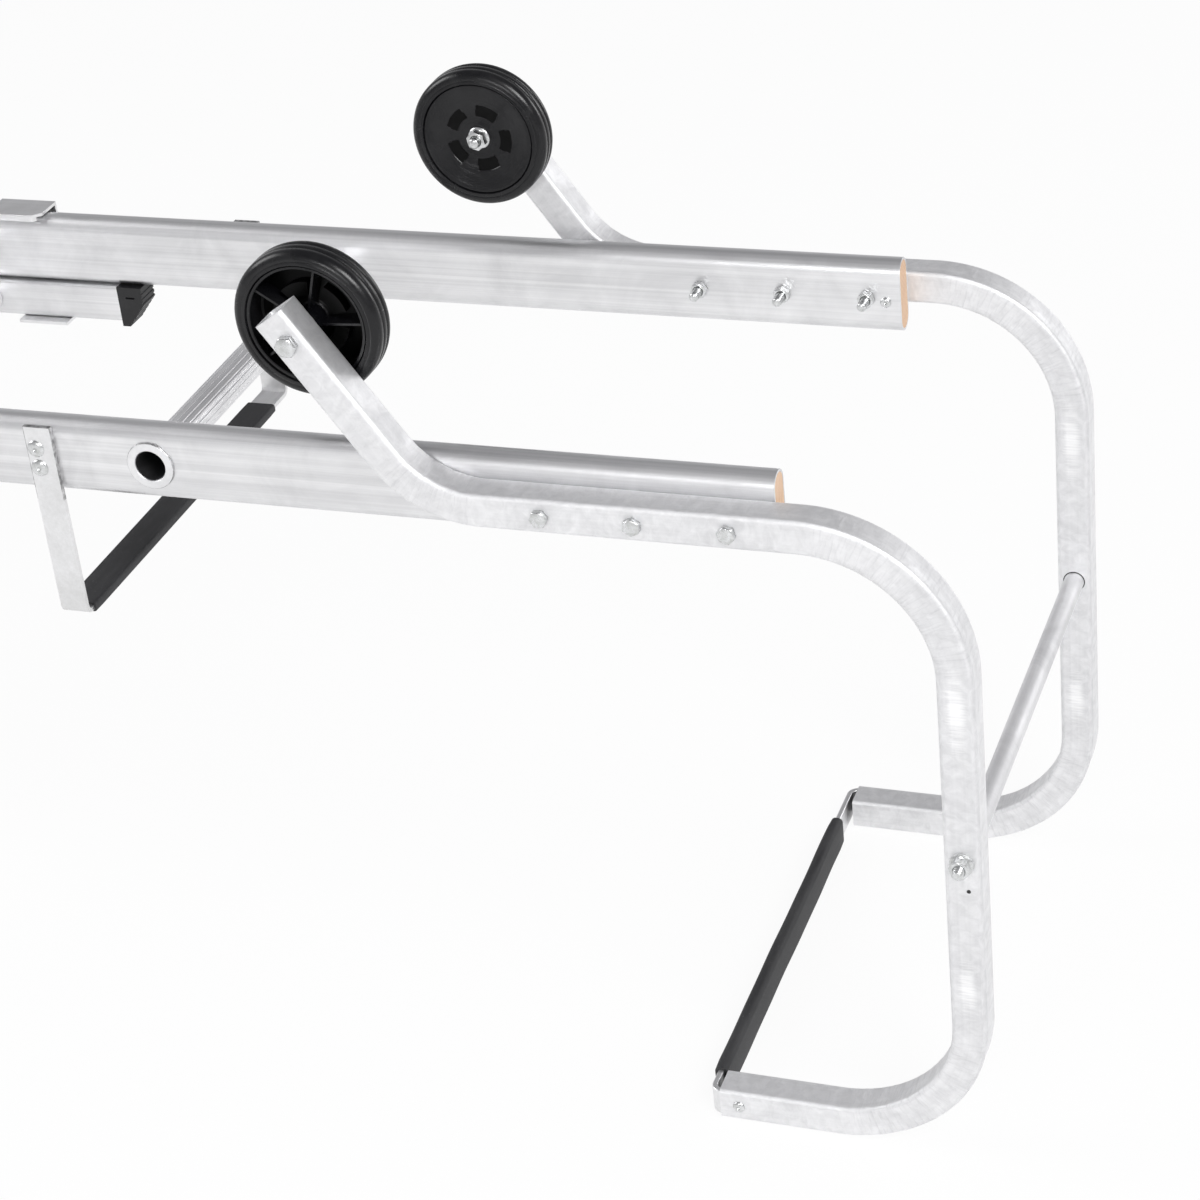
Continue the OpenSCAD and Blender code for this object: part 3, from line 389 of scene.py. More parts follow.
plug_wood, tree, bsdf = new_material("plug_wood")
vector = place_vector(tree)
rings = new_node(tree, "ShaderNodeTexWave", wave_type="RINGS", rings_direction="X")
for socket, number in (("Scale", 95), ("Distortion", 2.5), ("Detail", 2), ("Detail Scale", 0.6)):
    rings.inputs[socket].default_value = number
heart_y, heart_z = 0.19, 0.08
centred = new_node(tree, "ShaderNodeMapping")
centred.inputs["Location"].default_value = (0, -heart_y, -heart_z)
tree.links.new(vector, centred.inputs["Vector"])
tree.links.new(scaled(tree, centred.outputs[0], (0.08, 1, 1)), rings.inputs["Vector"])
pores = noise(tree, scaled(tree, vector, (30, 1400, 1400)), 1, 2)
stain = noise(tree, vector, 45, 3)
tree.links.new(mix_colour(tree, remap(tree, rings.outputs["Fac"], 0.2, 0.9),
                          (0.74, 0.52, 0.36), (0.62, 0.40, 0.26)), bsdf.inputs["Base Color"])
painted(tree, remap(tree, pores, 0.55, 0.75, 0, 0.5), (0.40, 0.25, 0.16))
painted(tree, remap(tree, stain, 0.4, 0.7, 0, 0.35), (0.80, 0.62, 0.48))
bsdf.inputs["Roughness"].default_value = 0.82
bumped(tree, pores, 0.00012)
dress(plug_wood, "stile_plug_near", "stile_plug_far")

# Hook tubes
# Each hook is one square aluminium tube, bent three times round a former: the wheel arm, the
# run that is bolted to the stile, and the hook. The inside of each bend is pressed in a little,
# the former has left chatter on the sides, and its jaws have scuffed them white.

tube_half, tube_corner, tube_wall = 0.0125, 0.0033, 0.0016
tube_y = 0.1835

# The run of a tube from the arm's free end: straight lengths, and bends by radius, degrees, way
arm_end, arm_slope = (0.20407, 0.25868), 55.5
tube_run = [("line", 0.1185), ("arc", 0.075, arm_slope, 1), ("line", 0.214),
            ("arc", 0.1, 90, -1), ("line", 0.276), ("arc", 0.1, 90, -1), ("line", 0.0855)]
tube_step, bend_step = 0.006, 0.0018

# What the bending does to the walls: pressed in on the inside, drawn flat on the outside,
# swollen at the sides, and marked by the former at two pitches
press_depth, flat_depth, swell_height, swell_loss = 0.0005, 0.0007, 0.00045, 0.0003
chatter_pitch, fine_pitch, chatter_in, chatter_side = 0.0085, 0.0052, 0.00003, 0.00004

# Scuffs of the jaws: distance along the tube and half length of each, and their half width
grip_places, grip_half = ((0.580, 0.030), (0.804, 0.021)), 0.0065


def tube_stations():
    """Along the tube: x, z, heading, distance, how much it is bent (0 to 1), side of the bend."""
    x, z = arm_end
    heading, distance = math.radians(-arm_slope), 0.0
    stations = []
    for part in tube_run:
        if part[0] == "line":
            steps = max(2, round(part[1] / tube_step))
            for i in range(steps):
                t = part[1] * i / steps
                stations.append((x + t * math.cos(heading), z + t * math.sin(heading),
                                 heading, distance + t, 0.0, 0))
            x, z = x + part[1] * math.cos(heading), z + part[1] * math.sin(heading)
            distance += part[1]
            continue
        radius, degrees, way = part[1:]
        sweep = math.radians(degrees)
        steps = round(radius * sweep / bend_step)
        centre = (x - way * radius * math.sin(heading), z + way * radius * math.cos(heading))
        for i in range(steps):
            turn = heading + way * sweep * i / steps
            share = i / steps
            bent = min(1.0, min(share, 1 - share) / 0.14)
            stations.append((centre[0] + way * radius * math.sin(turn),
                             centre[1] - way * radius * math.cos(turn), turn,
                             distance + radius * sweep * share, bent * bent * (3 - 2 * bent), way))
        heading += way * sweep
        x = centre[0] + way * radius * math.sin(heading)
        z = centre[1] - way * radius * math.cos(heading)
        distance += radius * sweep
    stations.append((x, z, heading, distance, 0.0, 0))
    return stations


def square_outline(half, corner, arc_steps=5, flat_steps=6):
    """Points round a square with round corners, anticlockwise, as (u, v)."""
    middle = half - corner
    quarter = [(half, middle * (2 * i / flat_steps - 1)) for i in range(flat_steps)]
    for i in range(arc_steps):
        a = i / arc_steps * math.pi / 2
        quarter.append((middle + corner * math.cos(a), middle + corner * math.sin(a)))
    return [(u * math.cos(turn) - v * math.sin(turn), u * math.sin(turn) + v * math.cos(turn))
            for turn in (k * math.pi / 2 for k in range(4)) for u, v in quarter]


def pressed(u, v, distance, bent, way, face_out):
    """Moves a point of the outline as the bending does. face_out is +1 or -1, the free side."""
    if not bent:
        return u, v
    inside = way * u / tube_half
    across = max(0.0, 1 - (v / tube_half) ** 2)
    ripple = (math.sin(distance * 2 * math.pi / chatter_pitch)
              + 0.4 * math.sin(distance * 2 * math.pi / fine_pitch))
    if inside > 0.6:
        u -= way * bent * (press_depth * across + chatter_in * ripple)
    elif inside < -0.6:
        u += way * bent * flat_depth * across
    if abs(v) > 0.6 * tube_half:
        near_inside = max(0.0, inside + 0.25) ** 1.5
        swell = (swell_height * math.exp(-((inside - 0.45) / 0.4) ** 2)
                 + chatter_side * ripple * near_inside)
        if v * face_out < 0:
            swell = min(0.0, swell - swell_loss)
        v += math.copysign(bent * swell, v)
    return u, v


def make_object(name, bm, material=None, sharp=32):
    """Turns a bmesh into an object at the origin, smooth but for its sharp edges."""
    for face in bm.faces:
        face.smooth = True
    for edge in bm.edges:
        if len(edge.link_faces) != 2 or edge.calc_face_angle(0) > math.radians(sharp):
            edge.smooth = False
    mesh = bpy.data.meshes.new(name)
    bm.to_mesh(mesh)
    bm.free()
    piece = bpy.data.objects.new(name, mesh)
    scene.collection.objects.link(piece)
    if material:
        mesh.materials.append(material)
    return piece


def hook_tube(name, side):
    """side is +1 for the far tube and -1 for the near one."""
    bm = bmesh.new()
    uv = bm.loops.layers.uv.new("run")
    bend_mark = bm.verts.layers.float.new("bent")
    grip_mark = bm.verts.layers.float.new("gripped")
    stations = tube_stations()
    lengths = [station[3] for station in stations]
    skins = []
    for inset in (0.0, tube_wall):
        outline = square_outline(tube_half - inset, tube_corner - inset)
        rows = []
        for x, z, heading, distance, bent, way in stations:
            row = []
            for u, v in outline:
                if inset == 0.0:
                    u, v = pressed(u, v, distance, bent, way, side)
                vert = bm.verts.new((x - u * math.sin(heading), side * tube_y + v,
                                     z + u * math.cos(heading)))
                vert[bend_mark] = bent
                vert[grip_mark] = math.exp(-(u / grip_half) ** 4) * max(
                    math.exp(-((distance - place) / reach) ** 2) for place, reach in grip_places)
                row.append(vert)
            rows.append(row)
        skins.append(rows)
        count = len(outline)
        girth = 8 * tube_half / count
        for i in range(len(rows) - 1):
            for j in range(count):
                k = (j + 1) % count
                face = bm.faces.new((rows[i][j], rows[i][k], rows[i + 1][k], rows[i + 1][j]))
                corners = ((i, j), (i, j + 1), (i + 1, j + 1), (i + 1, j))
                for loop, (a, b) in zip(face.loops, corners):
                    loop[uv].uv = (lengths[a], b * girth)
    outer, inner = skins
    for end in (0, -1):
        for j in range(len(outer[0])):
            k = (j + 1) % len(outer[0])
            face = bm.faces.new((outer[end][j], outer[end][k], inner[end][k], inner[end][j]))
            for loop in face.loops:
                loop[uv].uv = (loop.vert.co.y, loop.vert.co.z)
    bmesh.ops.recalc_face_normals(bm, faces=bm.faces)
    return make_object(name, bm)


tube_metal = mill_metal("tube_metal", (0.92, 0.92, 0.93), (0.74, 0.74, 0.75), (0.54, 0.66),
                        uv="run", scratches=0.5, lines=0.4, mottle=0.4)

# Wear at the bends and the jaws' white scuffs, over the drawn finish
tree = tube_metal.node_tree
bsdf = tree.nodes["Principled BSDF"]
bump = bsdf.inputs["Normal"].links[0].from_node
drawn_rough = bsdf.inputs["Roughness"].links[0].from_socket
drawn_height = bump.inputs["Height"].links[0].from_socket
along = new_node(tree, "ShaderNodeUVMap", uv_map="run").outputs[0]
bent = new_node(tree, "ShaderNodeAttribute", attribute_name="bent").outputs["Fac"]
gripped = new_node(tree, "ShaderNodeAttribute", attribute_name="gripped").outputs["Fac"]
chatter = noise(tree, scaled(tree, along, (420, 70, 1)), 1, 3, 0.6)
strokes = noise(tree, scaled(tree, along, (900, 45, 1)), 1, 2)
grain = sums(tree, "ADD", sums(tree, "MULTIPLY", strokes, 0.9),
             sums(tree, "MULTIPLY", chatter, 0.3))
scuffed = sums(tree, "ADD", sums(tree, "MULTIPLY", gripped, 0.55), grain)
white = sums(tree, "MULTIPLY", remap(tree, scuffed, 0.80, 1.22), 0.85)
rubbed = sums(tree, "MULTIPLY", remap(tree, chatter, 0.50, 0.70), bent)
painted(tree, sums(tree, "MULTIPLY", rubbed, 0.3), (0.64, 0.64, 0.65))
painted(tree, white, (0.97, 0.97, 0.97))
tree.links.new(sums(tree, "ADD", drawn_rough, sums(tree, "MULTIPLY", rubbed, 0.15)),
               bsdf.inputs["Roughness"])
tree.links.new(sums(tree, "SUBTRACT", 1.0, sums(tree, "MULTIPLY", white, 0.7)),
               bsdf.inputs["Metallic"])
pressed_chatter = sums(tree, "MULTIPLY", chatter, sums(tree, "MULTIPLY", bent, 1.5))
tree.links.new(sums(tree, "ADD", drawn_height, pressed_chatter), bump.inputs["Height"])
for side_name, side in (("near", -1), ("far", 1)):
    tube = hook_tube("bent_hook_tube_" + side_name, side)
    tube.data.materials.append(tube_metal)
    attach(tube, "upper_section")
    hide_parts("hook_tube_" + side_name)

# Cross tube
# A round spacer tube keeps the two hooks apart. It enters each hook through its inner wall.

cross_metal = mill_metal("cross_metal", (0.88, 0.88, 0.89), (0.72, 0.72, 0.73), (0.58, 0.68),
                         turn=(0, 0, math.pi / 2), scratches=0.3, lines=0.5)
dress(cross_metal, "cross_tube")

# Each hole is a little wider than the tube, and the shade in the gap round it is painted as a thin
# dark ring. A small pilot hole lies below it, in the outer wall of each hook, painted as a dark
# disc for the shade inside it.
painted_hole_shade, tree, bsdf = new_material("painted_hole_shade")
bsdf.inputs["Base Color"].default_value = (0.03, 0.03, 0.03, 1)
bsdf.inputs["Roughness"].default_value = 0.9


def circle_row(bm, x, y, z, radius, steps):
    """Points of a circle round an axis along Y."""
    return [bm.verts.new((x + radius * math.cos(2 * math.pi * i / steps), y,
                          z + radius * math.sin(2 * math.pi * i / steps))) for i in range(steps)]


def band(bm, low, high):
    """Faces between two closed rows of points."""
    for i in range(len(low)):
        k = (i + 1) % len(low)
        bm.faces.new((low[i], low[k], high[k], high[i]))


cross_x, cross_z = 0.647, -0.108
cross_r, hole_line, line_proud, line_deep = 0.00755, 0.0007, 0.00015, 0.0006
pilot_shift, pilot_drop, pilot_r = 0.0038, 0.0225, 0.00145
bm = bmesh.new()
for side in (-1, 1):
    inner_y, outer_y = (side * (tube_y + way * tube_half) for way in (-1, 1))
    edges = [circle_row(bm, cross_x, inner_y + side * dy, cross_z, r, 64)
             for r, dy in ((cross_r, line_deep), (cross_r, -line_proud),
                           (cross_r + hole_line, -line_proud), (cross_r + hole_line, line_deep))]
    for a, b in zip(edges, edges[1:] + edges[:1]):
        band(bm, a, b)
    pilot = [circle_row(bm, cross_x + pilot_shift, outer_y + side * dy, cross_z - pilot_drop,
                        pilot_r, 24) for dy in (-line_deep, line_proud)]
    band(bm, *pilot)
    for end in pilot:
        bm.faces.new(end)
bmesh.ops.recalc_face_normals(bm, faces=bm.faces)
hole_edges = make_object("hook_tube_hole_edges", bm, painted_hole_shade)
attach(hole_edges, "upper_section")

# Bolts, nuts, washers, rivets
# Zinc-plated bolts with chamfered heads, plain and flange nuts, washers, pan-headed screws and
# dome-headed blind rivets. Each kind is made once and set on its points by geometry nodes.

zinc, tree, bsdf = new_material("zinc_plate")
vector = place_vector(tree)
haze = noise(tree, vector, 260, 4, 0.6)
spots = remap(tree, noise(tree, vector, 900, 2), 0.60, 0.72)
tree.links.new(mix_colour(tree, remap(tree, haze, 0.35, 0.65), (0.78, 0.79, 0.80),
                          (0.60, 0.61, 0.60)), bsdf.inputs["Base Color"])
painted(tree, sums(tree, "MULTIPLY", spots, 0.35), (0.38, 0.37, 0.34))
bsdf.inputs["Metallic"].default_value = 1.0
tree.links.new(remap(tree, haze, 0.3, 0.7, 0.20, 0.38), bsdf.inputs["Roughness"])
bumped(tree, haze, 0.00005)


def turned_rings(bm, outline, steps=32, close_start=True, close_end=True):
    """Turns (radius, height) points about Z. Either may be a function of the angle."""
    rows = []
    for radius, height in outline:
        row = []
        for i in range(steps):
            a = 2 * math.pi * i / steps
            r = radius(a) if callable(radius) else radius
            h = height(a) if callable(height) else height
            row.append(bm.verts.new((r * math.cos(a), r * math.sin(a), h)))
        rows.append(row)
    for low, high in zip(rows, rows[1:]):
        band(bm, low, high)
    if close_start:
        bm.faces.new(rows[0][::-1])
    if close_end:
        bm.faces.new(rows[-1])


def open_rings(bm, outline, steps=40):
    turned_rings(bm, outline, steps, close_start=False, close_end=False)


# Radius of the turned crown of a hexagon by its flats, and the slope of the cone outside it
crown_share, crown_slope = 0.475, 0.6


def hex_block(bm, flats, low, high, bore=0.0):
    """A hexagon whose upper corners are turned down to a cone."""
    crown = crown_share * flats

    def edge(a):
        return flats / 2 / math.cos((a + math.pi / 6) % (math.pi / 3) - math.pi / 6)

    def top(a):
        return high - max(0.0, edge(a) - crown) * crown_slope

    outline = [(edge, low), (edge, top), (crown, high)]
    if bore:
        outline += [(bore + 0.0005, high), (bore, high - 0.0006)]
    turned_rings(bm, outline, 48, close_start=not bore, close_end=not bore)


def thread_outline(crest, low, high):
    """Grooves from low to high, with a chamfered end at low."""
    root, pitch, chamfer = 0.86 * crest, 0.155 * 2 * crest, 0.0005
    points = [(root * 0.86, low), (root, low + chamfer)]
    h = low + chamfer
    while h < high - pitch:
        points += [(crest, h + 0.45 * pitch), (crest, h + 0.6 * pitch), (root, h + pitch)]
        h += pitch
    return points


def bolt_part(name, shank, flats, head, length, threaded):
    """A hexagon bolt: its head stands on a thin round face and its end is threaded."""
    bm = bmesh.new()
    hex_block(bm, flats, 0.0003, head)
    turned_rings(bm, [(crown_share * flats, 0.0), (crown_share * flats, 0.0004)], 32)
    points = thread_outline(shank / 2, -length, -length + threaded)
    turned_rings(bm, points + [(0.49 * shank, -length + threaded), (0.49 * shank, 0.0)], 20)
    return make_object(name, bm, zinc)


def flange_nut_part(name, bore, flats, height):
    bm = bmesh.new()
    open_rings(bm, [(bore, 0.0), (0.0083, 0.0), (0.0085, 0.0004), (0.0084, 0.0010),
                    (0.0072, 0.0020), (0.0062, 0.0023)])
    hex_block(bm, flats, 0.0016, height, bore)
    open_rings(bm, [(bore, 0.0), (bore, height - 0.0004)])
    bmesh.ops.recalc_face_normals(bm, faces=bm.faces)
    return make_object(name, bm, zinc)


def plain_nut_part(name, bore, flats, low, height):
    bm = bmesh.new()
    hex_block(bm, flats, low, height, bore)
    open_rings(bm, [(bore, low), (bore + 0.0016, low)])
    open_rings(bm, [(bore, low), (bore, height - 0.0004)])
    bmesh.ops.recalc_face_normals(bm, faces=bm.faces)
    return make_object(name, bm, zinc)


def washer_part(name, bore, outer, thick):
    bm = bmesh.new()
    open_rings(bm, [(bore, 0.0001), (bore + 0.0001, 0.0), (outer - 0.0002, 0.0), (outer, 0.0002),
                    (outer, thick - 0.0002), (outer - 0.0002, thick), (bore + 0.0001, thick),
                    (bore, thick - 0.0001), (bore, 0.0001)])
    bmesh.ops.remove_doubles(bm, verts=bm.verts, dist=1e-6)
    bmesh.ops.recalc_face_normals(bm, faces=bm.faces)
    return make_object(name, bm, zinc)


def rivet_part(name, grip, head):
    """head is the radius of its dome."""
    bm = bmesh.new()
    shank_r, dome_height = 0.0020, 0.0021
    dome = [(head * across, dome_height * up) for across, up in (
        (1.0, 0.0), (1.0, 0.14), (0.96, 0.38), (0.82, 0.66), (0.60, 0.86), (0.38, 0.95))]
    turned_rings(bm, [(shank_r, -grip), (shank_r, 0.0)] + dome + [
        (0.0013, 0.0020), (0.0011, 0.0013), (0.0008, 0.0009), (0.0004, 0.0009)], 32)
    # the end that the pin has pulled out behind the sheet
    turned_rings(bm, [(0.0019, -grip - 0.0018), (0.0029, -grip - 0.0017),
                      (0.00325, -grip - 0.0009), (0.0030, -grip - 0.0001), (shank_r, -grip)], 24)
    return make_object(name, bm, zinc)


def screw_part(name):
    """A pointed screw. Its pan head has a recess pressed in."""
    bm = bmesh.new()
    turned_rings(bm, [(0.0004, -0.0115), (0.0017, -0.008), (0.0020, -0.006), (0.0020, 0.0),
                      (0.0039, 0.0), (0.0040, 0.0006), (0.0037, 0.0014), (0.0030, 0.0020),
                      (0.0022, 0.0022), (0.0015, 0.0022), (0.0009, 0.0012), (0.0003, 0.0010)], 32)
    return make_object(name, bm, zinc)


def setting_tree(name):
    """Sets a copy of Part on every point, turned by the point's own spin, and joins them."""
    tree = bpy.data.node_groups.new(name, "GeometryNodeTree")
    tree.interface.new_socket("Geometry", in_out="INPUT", socket_type="NodeSocketGeometry")
    tree.interface.new_socket("Part", in_out="INPUT", socket_type="NodeSocketObject")
    tree.interface.new_socket("Finish", in_out="INPUT", socket_type="NodeSocketMaterial")
    tree.interface.new_socket("Geometry", in_out="OUTPUT", socket_type="NodeSocketGeometry")
    g_in, g_out = new_node(tree, "NodeGroupInput"), new_node(tree, "NodeGroupOutput")
    part = new_node(tree, "GeometryNodeObjectInfo")
    spin = new_node(tree, "GeometryNodeInputNamedAttribute", data_type="FLOAT_VECTOR")
    spin.inputs["Name"].default_value = "spin"
    turn = new_node(tree, "FunctionNodeEulerToRotation")
    copies = new_node(tree, "GeometryNodeInstanceOnPoints")
    real = new_node(tree, "GeometryNodeRealizeInstances")
    finish = new_node(tree, "GeometryNodeSetMaterial")
    link = tree.links.new
    link(g_in.outputs["Geometry"], copies.inputs["Points"])
    link(g_in.outputs["Part"], part.inputs["Object"])
    link(part.outputs["Geometry"], copies.inputs["Instance"])
    link(spin.outputs["Attribute"], turn.inputs[0])
    link(turn.outputs[0], copies.inputs["Rotation"])
    link(copies.outputs[0], real.inputs[0])
    link(real.outputs[0], finish.inputs["Geometry"])
    link(g_in.outputs["Finish"], finish.inputs["Material"])
    link(finish.outputs[0], g_out.inputs[0])
    return tree


def input_key(tree, name):
    return next(s.identifier for s in tree.interface.items_tree
                if s.in_out == "INPUT" and s.name == name)


setting = setting_tree("set_fasteners")


def set_on_points(name, part, places, finish):
    """Makes one mesh of the part at every place, and removes the part.

    places are (x, y, z, way, turn): way is the side that the head faces, +1 or -1 along Y.
    """
    mesh = bpy.data.meshes.new(name)
    mesh.from_pydata([p[:3] for p in places], [], [])
    spins = mesh.attributes.new("spin", "FLOAT_VECTOR", "POINT")
    for i, (*_, way, turn) in enumerate(places):
        spins.data[i].vector = (Euler((-way * math.pi / 2, 0, 0)).to_matrix()
                                @ Matrix.Rotation(turn, 3, "Z")).to_euler()
    points = bpy.data.objects.new(name, mesh)
    scene.collection.objects.link(points)
    modifier = points.modifiers.new("setting", "NODES")
    modifier.node_group = setting
    modifier[input_key(setting, "Part")] = part
    modifier[input_key(setting, "Finish")] = finish
    bpy.context.view_layer.update()
    shown = points.evaluated_get(bpy.context.evaluated_depsgraph_get())
    done = bpy.data.meshes.new_from_object(shown)
    points.modifiers.clear()
    points.data = done
    for attribute in [a for a in done.attributes if a.name == "spin"]:
        done.attributes.remove(attribute)
    bpy.data.objects.remove(part)
    return points


def joined(name, pieces):
    """Joins the meshes of several objects to one object."""
    bm = bmesh.new()
    for piece in pieces:
        bm.from_mesh(piece.data)
    material = pieces[0].data.materials[0]
    for piece in pieces:
        bpy.data.objects.remove(piece)
    mesh = bpy.data.meshes.new(name)
    bm.to_mesh(mesh)
    bm.free()
    mesh.materials.append(material)
    piece = bpy.data.objects.new(name, mesh)
    scene.collection.objects.link(piece)
    return piece


half_width, tube_out, stile_in = 0.171, tube_y + tube_half, 0.150
ladder_z = upper_rung[0]
bolt_x = (0.504, 0.4405, 0.377)
axle_x, axle_z = 0.215966, 0.241372
axle_end = 0.1493
screw_x, screw_z = 0.518, 0.126
washer_t = 0.0016
turns = (0.3, 1.0, 0.62, 0.15, 0.8, 0.45)

bolt = bolt_part("hook_bolt_part", shank=0.007, flats=0.011, head=0.0046, length=0.0625,
                 threaded=0.024)
bolts = set_on_points("hook_bolt_set", bolt, [
    (x, s * tube_out, ladder_z, s, turns[i + (3 if s > 0 else 0)])
    for s in (-1, 1) for i, x in enumerate(bolt_x)], zinc)
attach(bolts, "upper_section")
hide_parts("hook_bolts")

nut = plain_nut_part("hook_nut_part", bore=0.0036, flats=0.011, low=0.0003, height=0.0055)
nuts = set_on_points("hook_nut_set", nut, [
    (x, s * stile_in, ladder_z, -s, turns[i]) for s in (-1, 1) for i, x in enumerate(bolt_x)], zinc)
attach(nuts, "upper_section")
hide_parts("hook_nuts")

bolt = bolt_part("axle_bolt_part", shank=0.008, flats=0.013, head=0.0053, length=0.0597,
                 threaded=0.016)
bolts = set_on_points("axle_bolt_set", bolt, [(axle_x, s * tube_out, axle_z, s, 0.5 + s)
                                              for s in (-1, 1)], zinc)
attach(bolts, "upper_section")
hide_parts("axle_bolts")

nut = flange_nut_part("flange_nut_part", bore=0.0041, flats=0.013, height=0.008)
nuts = set_on_points("flange_nut_set", nut, [
    place for s in (-1, 1) for place in (
        (axle_x, s * axle_end, axle_z, -s, 0.2),
        (cross_x, s * (tube_out + washer_t), cross_z, s, 0.35))], zinc)
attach(nuts, "upper_section")
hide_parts("flange_nuts")

washer = washer_part("washer_part", bore=0.0042, outer=0.0080, thick=washer_t)
washers = set_on_points("washer_set", washer, [
    place for s in (-1, 1) for place in (
        (axle_x, s * (half_width - washer_t), axle_z, s, 0),
        (cross_x, s * tube_out, cross_z, s, 0))], zinc)
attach(washers, "upper_section")
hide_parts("washers")

screw = screw_part("plug_screw_part")
screws = set_on_points("plug_screw_set", screw, [
    (screw_x, s * stile_in, screw_z, -s, 0) for s in (-1, 1)], zinc)
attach(screws, "upper_section")
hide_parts("plug_screws")

# The rod passes through the cross tube. Its thread is modelled where it comes out of the nuts.
rod_half, rod_r, rod_thread = 0.2111, 0.004, 0.02
bm = bmesh.new()
outline = thread_outline(rod_r, -rod_half, -rod_half + rod_thread)
outline += [(rod_r - 0.0001, 0.0)] + [(r, -h) for r, h in reversed(outline)]
turned_rings(bm, outline, 20)
along_y = Matrix.Translation((cross_x, 0, cross_z)) @ Matrix.Rotation(math.pi / 2, 4, "X")
bmesh.ops.transform(bm, matrix=along_y, verts=bm.verts)
rod = make_object("threaded_cross_rod", bm, zinc)
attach(rod, "upper_section")
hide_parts("cross_rod")


def rivet_set(name, node, body, groups):
    """groups are (x, z, y of the head's face, grip, radius of the head)."""
    made = []
    for x, z, face_y, grip, head in groups:
        part = rivet_part("rivet_part", grip, head)
        made.append(set_on_points("rivets", part, [(x, s * face_y, z, s, 0.4 * x)
                                                   for s in (-1, 1)], zinc))
    rivets = joined(name, made)
    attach(rivets, body)
    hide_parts(node)


# On each carrier: y of the head's face, grip, radius of the head
on_tube, on_strap, on_guide = ((tube_out, 0.0061, 0.0045), (0.1743, 0.0051, 0.0064),
                               (0.1735, 0.0043, 0.0045))
base_z, hook_z, ridge_rivet_x = base_rung[0], -0.3475, 0.4755
strap_x, base_strap_x, strap_rivet_shift, strap_rivet_z = 0.0, -2.176, 0.0033, 0.0075
foot_guide_rivets, top_guide_rivets = (-1.88490, -1.86160), (-0.1731, -0.1964)
rivet_set("ridge_rivet_set", "ridge_rivets", "upper_section", [(ridge_rivet_x, hook_z, *on_tube)])
rivet_set("upper_rivet_set", "upper_rivets", "upper_section", [
    (strap_x - strap_rivet_shift, ladder_z + strap_rivet_z, *on_strap),
    (strap_x - strap_rivet_shift, ladder_z - strap_rivet_z, *on_strap),
    *((x, ladder_z, *on_guide) for x in foot_guide_rivets)])
rivet_set("base_rivet_set", "base_rivets", "base_section", [
    (base_strap_x, base_z + strap_rivet_z, *on_strap),
    (base_strap_x, base_z - strap_rivet_z, *on_strap),
    *((x, base_z, *on_guide) for x in top_guide_rivets)])

# Bearer bars, ridge bar, guides
# Aluminium flat bar and plate, bent cold and left as rolled. The bearer bars lie on the outer
# faces of the stiles, the ridge bar's ends in the tubes' mouths, and rivets hold them all.

bar_metal = mill_metal("bar_metal", (0.88, 0.88, 0.89), (0.74, 0.74, 0.74), (0.32, 0.44),
                       turn=(0, 0, math.pi / 2), scratches=0.7, lines=0.7)

# Dirt and a painted contact shadow also sit along the edges of the straps, where they lie on the
# stiles. Of each strap: its middle, the lower edge of its stile and its own top.
strap_half, dirt_and_shade_in = 0.0105, 0.0004
strap_places = ((strap_x, 0.096, 0.153), (base_strap_x, 0.065, 0.09825))
tree = bar_metal.node_tree
place = place_parts(tree)
edges = []
for middle_x, stile_low, strap_top in strap_places:
    aside = sums(tree, "ABSOLUTE", sums(tree, "SUBTRACT", place["X"], middle_x))
    side = sums(tree, "MULTIPLY", sums(tree, "GREATER_THAN", aside, strap_half - dirt_and_shade_in),
                sums(tree, "GREATER_THAN", place["Z"], stile_low))
    top = sums(tree, "GREATER_THAN", place["Z"], strap_top - dirt_and_shade_in)
    edges.append(sums(tree, "MULTIPLY", sums(tree, "MAXIMUM", side, top),
                      sums(tree, "LESS_THAN", aside, strap_half + 0.0005)))
dirtied_and_shaded(tree, largest(tree, edges))
dress(bar_metal, "bearer_bar", "base_bearer_bar", "ridge_bar")
plate_metal = mill_metal("plate_metal", (0.90, 0.90, 0.91), (0.76, 0.76, 0.76), (0.30, 0.42),
                         scratches=0.6, lines=0.5)
dress(plate_metal, "top_guide_near", "top_guide_far", "foot_guide_near", "foot_guide_far")

# Rubber sleeves
# Lengths of black rubber section pushed over the bars, a little loose, cut square with a
# knife. They have slipped towards the near side, and rubbing has greyed them in patches.

rubber, tree, bsdf = new_material("sleeve_rubber_black")
vector = place_vector(tree, (0, 0, math.pi / 2))
rub = noise(tree, scaled(tree, vector, (9, 60, 60)), 1, 5, 0.65)
grain = noise(tree, vector, 1600, 2)
marks = new_node(tree, "ShaderNodeGroup", node_tree=handling)
marks.inputs["Amount"].default_value = 0.8
tree.links.new(vector, marks.inputs["Vector"])
tree.links.new(mix_colour(tree, remap(tree, rub, 0.45, 0.75), (0.015, 0.015, 0.017),
                          (0.046, 0.046, 0.048)), bsdf.inputs["Base Color"])
painted(tree, sums(tree, "MULTIPLY", marks.outputs["Scratches"], 0.5), (0.16, 0.16, 0.16))
tree.links.new(remap(tree, rub, 0.3, 0.7, 0.50, 0.68), bsdf.inputs["Roughness"])
bumped(tree, sums(tree, "ADD", grain, sums(tree, "MULTIPLY", rub, 1.5)), 0.00008)


def sleeve_outline(width, height, corner):
    """A rectangle with round corners, 24 points."""
    points = []
    for sx, sz, start in ((1, 1, 0), (-1, 1, 1), (-1, -1, 2), (1, -1, 3)):
        for i in range(6):
            a = (start + i / 5) * math.pi / 2
            points.append((sx * (width / 2 - corner) + corner * math.cos(a),
                           sz * (height / 2 - corner) + corner * math.sin(a)))
    return points


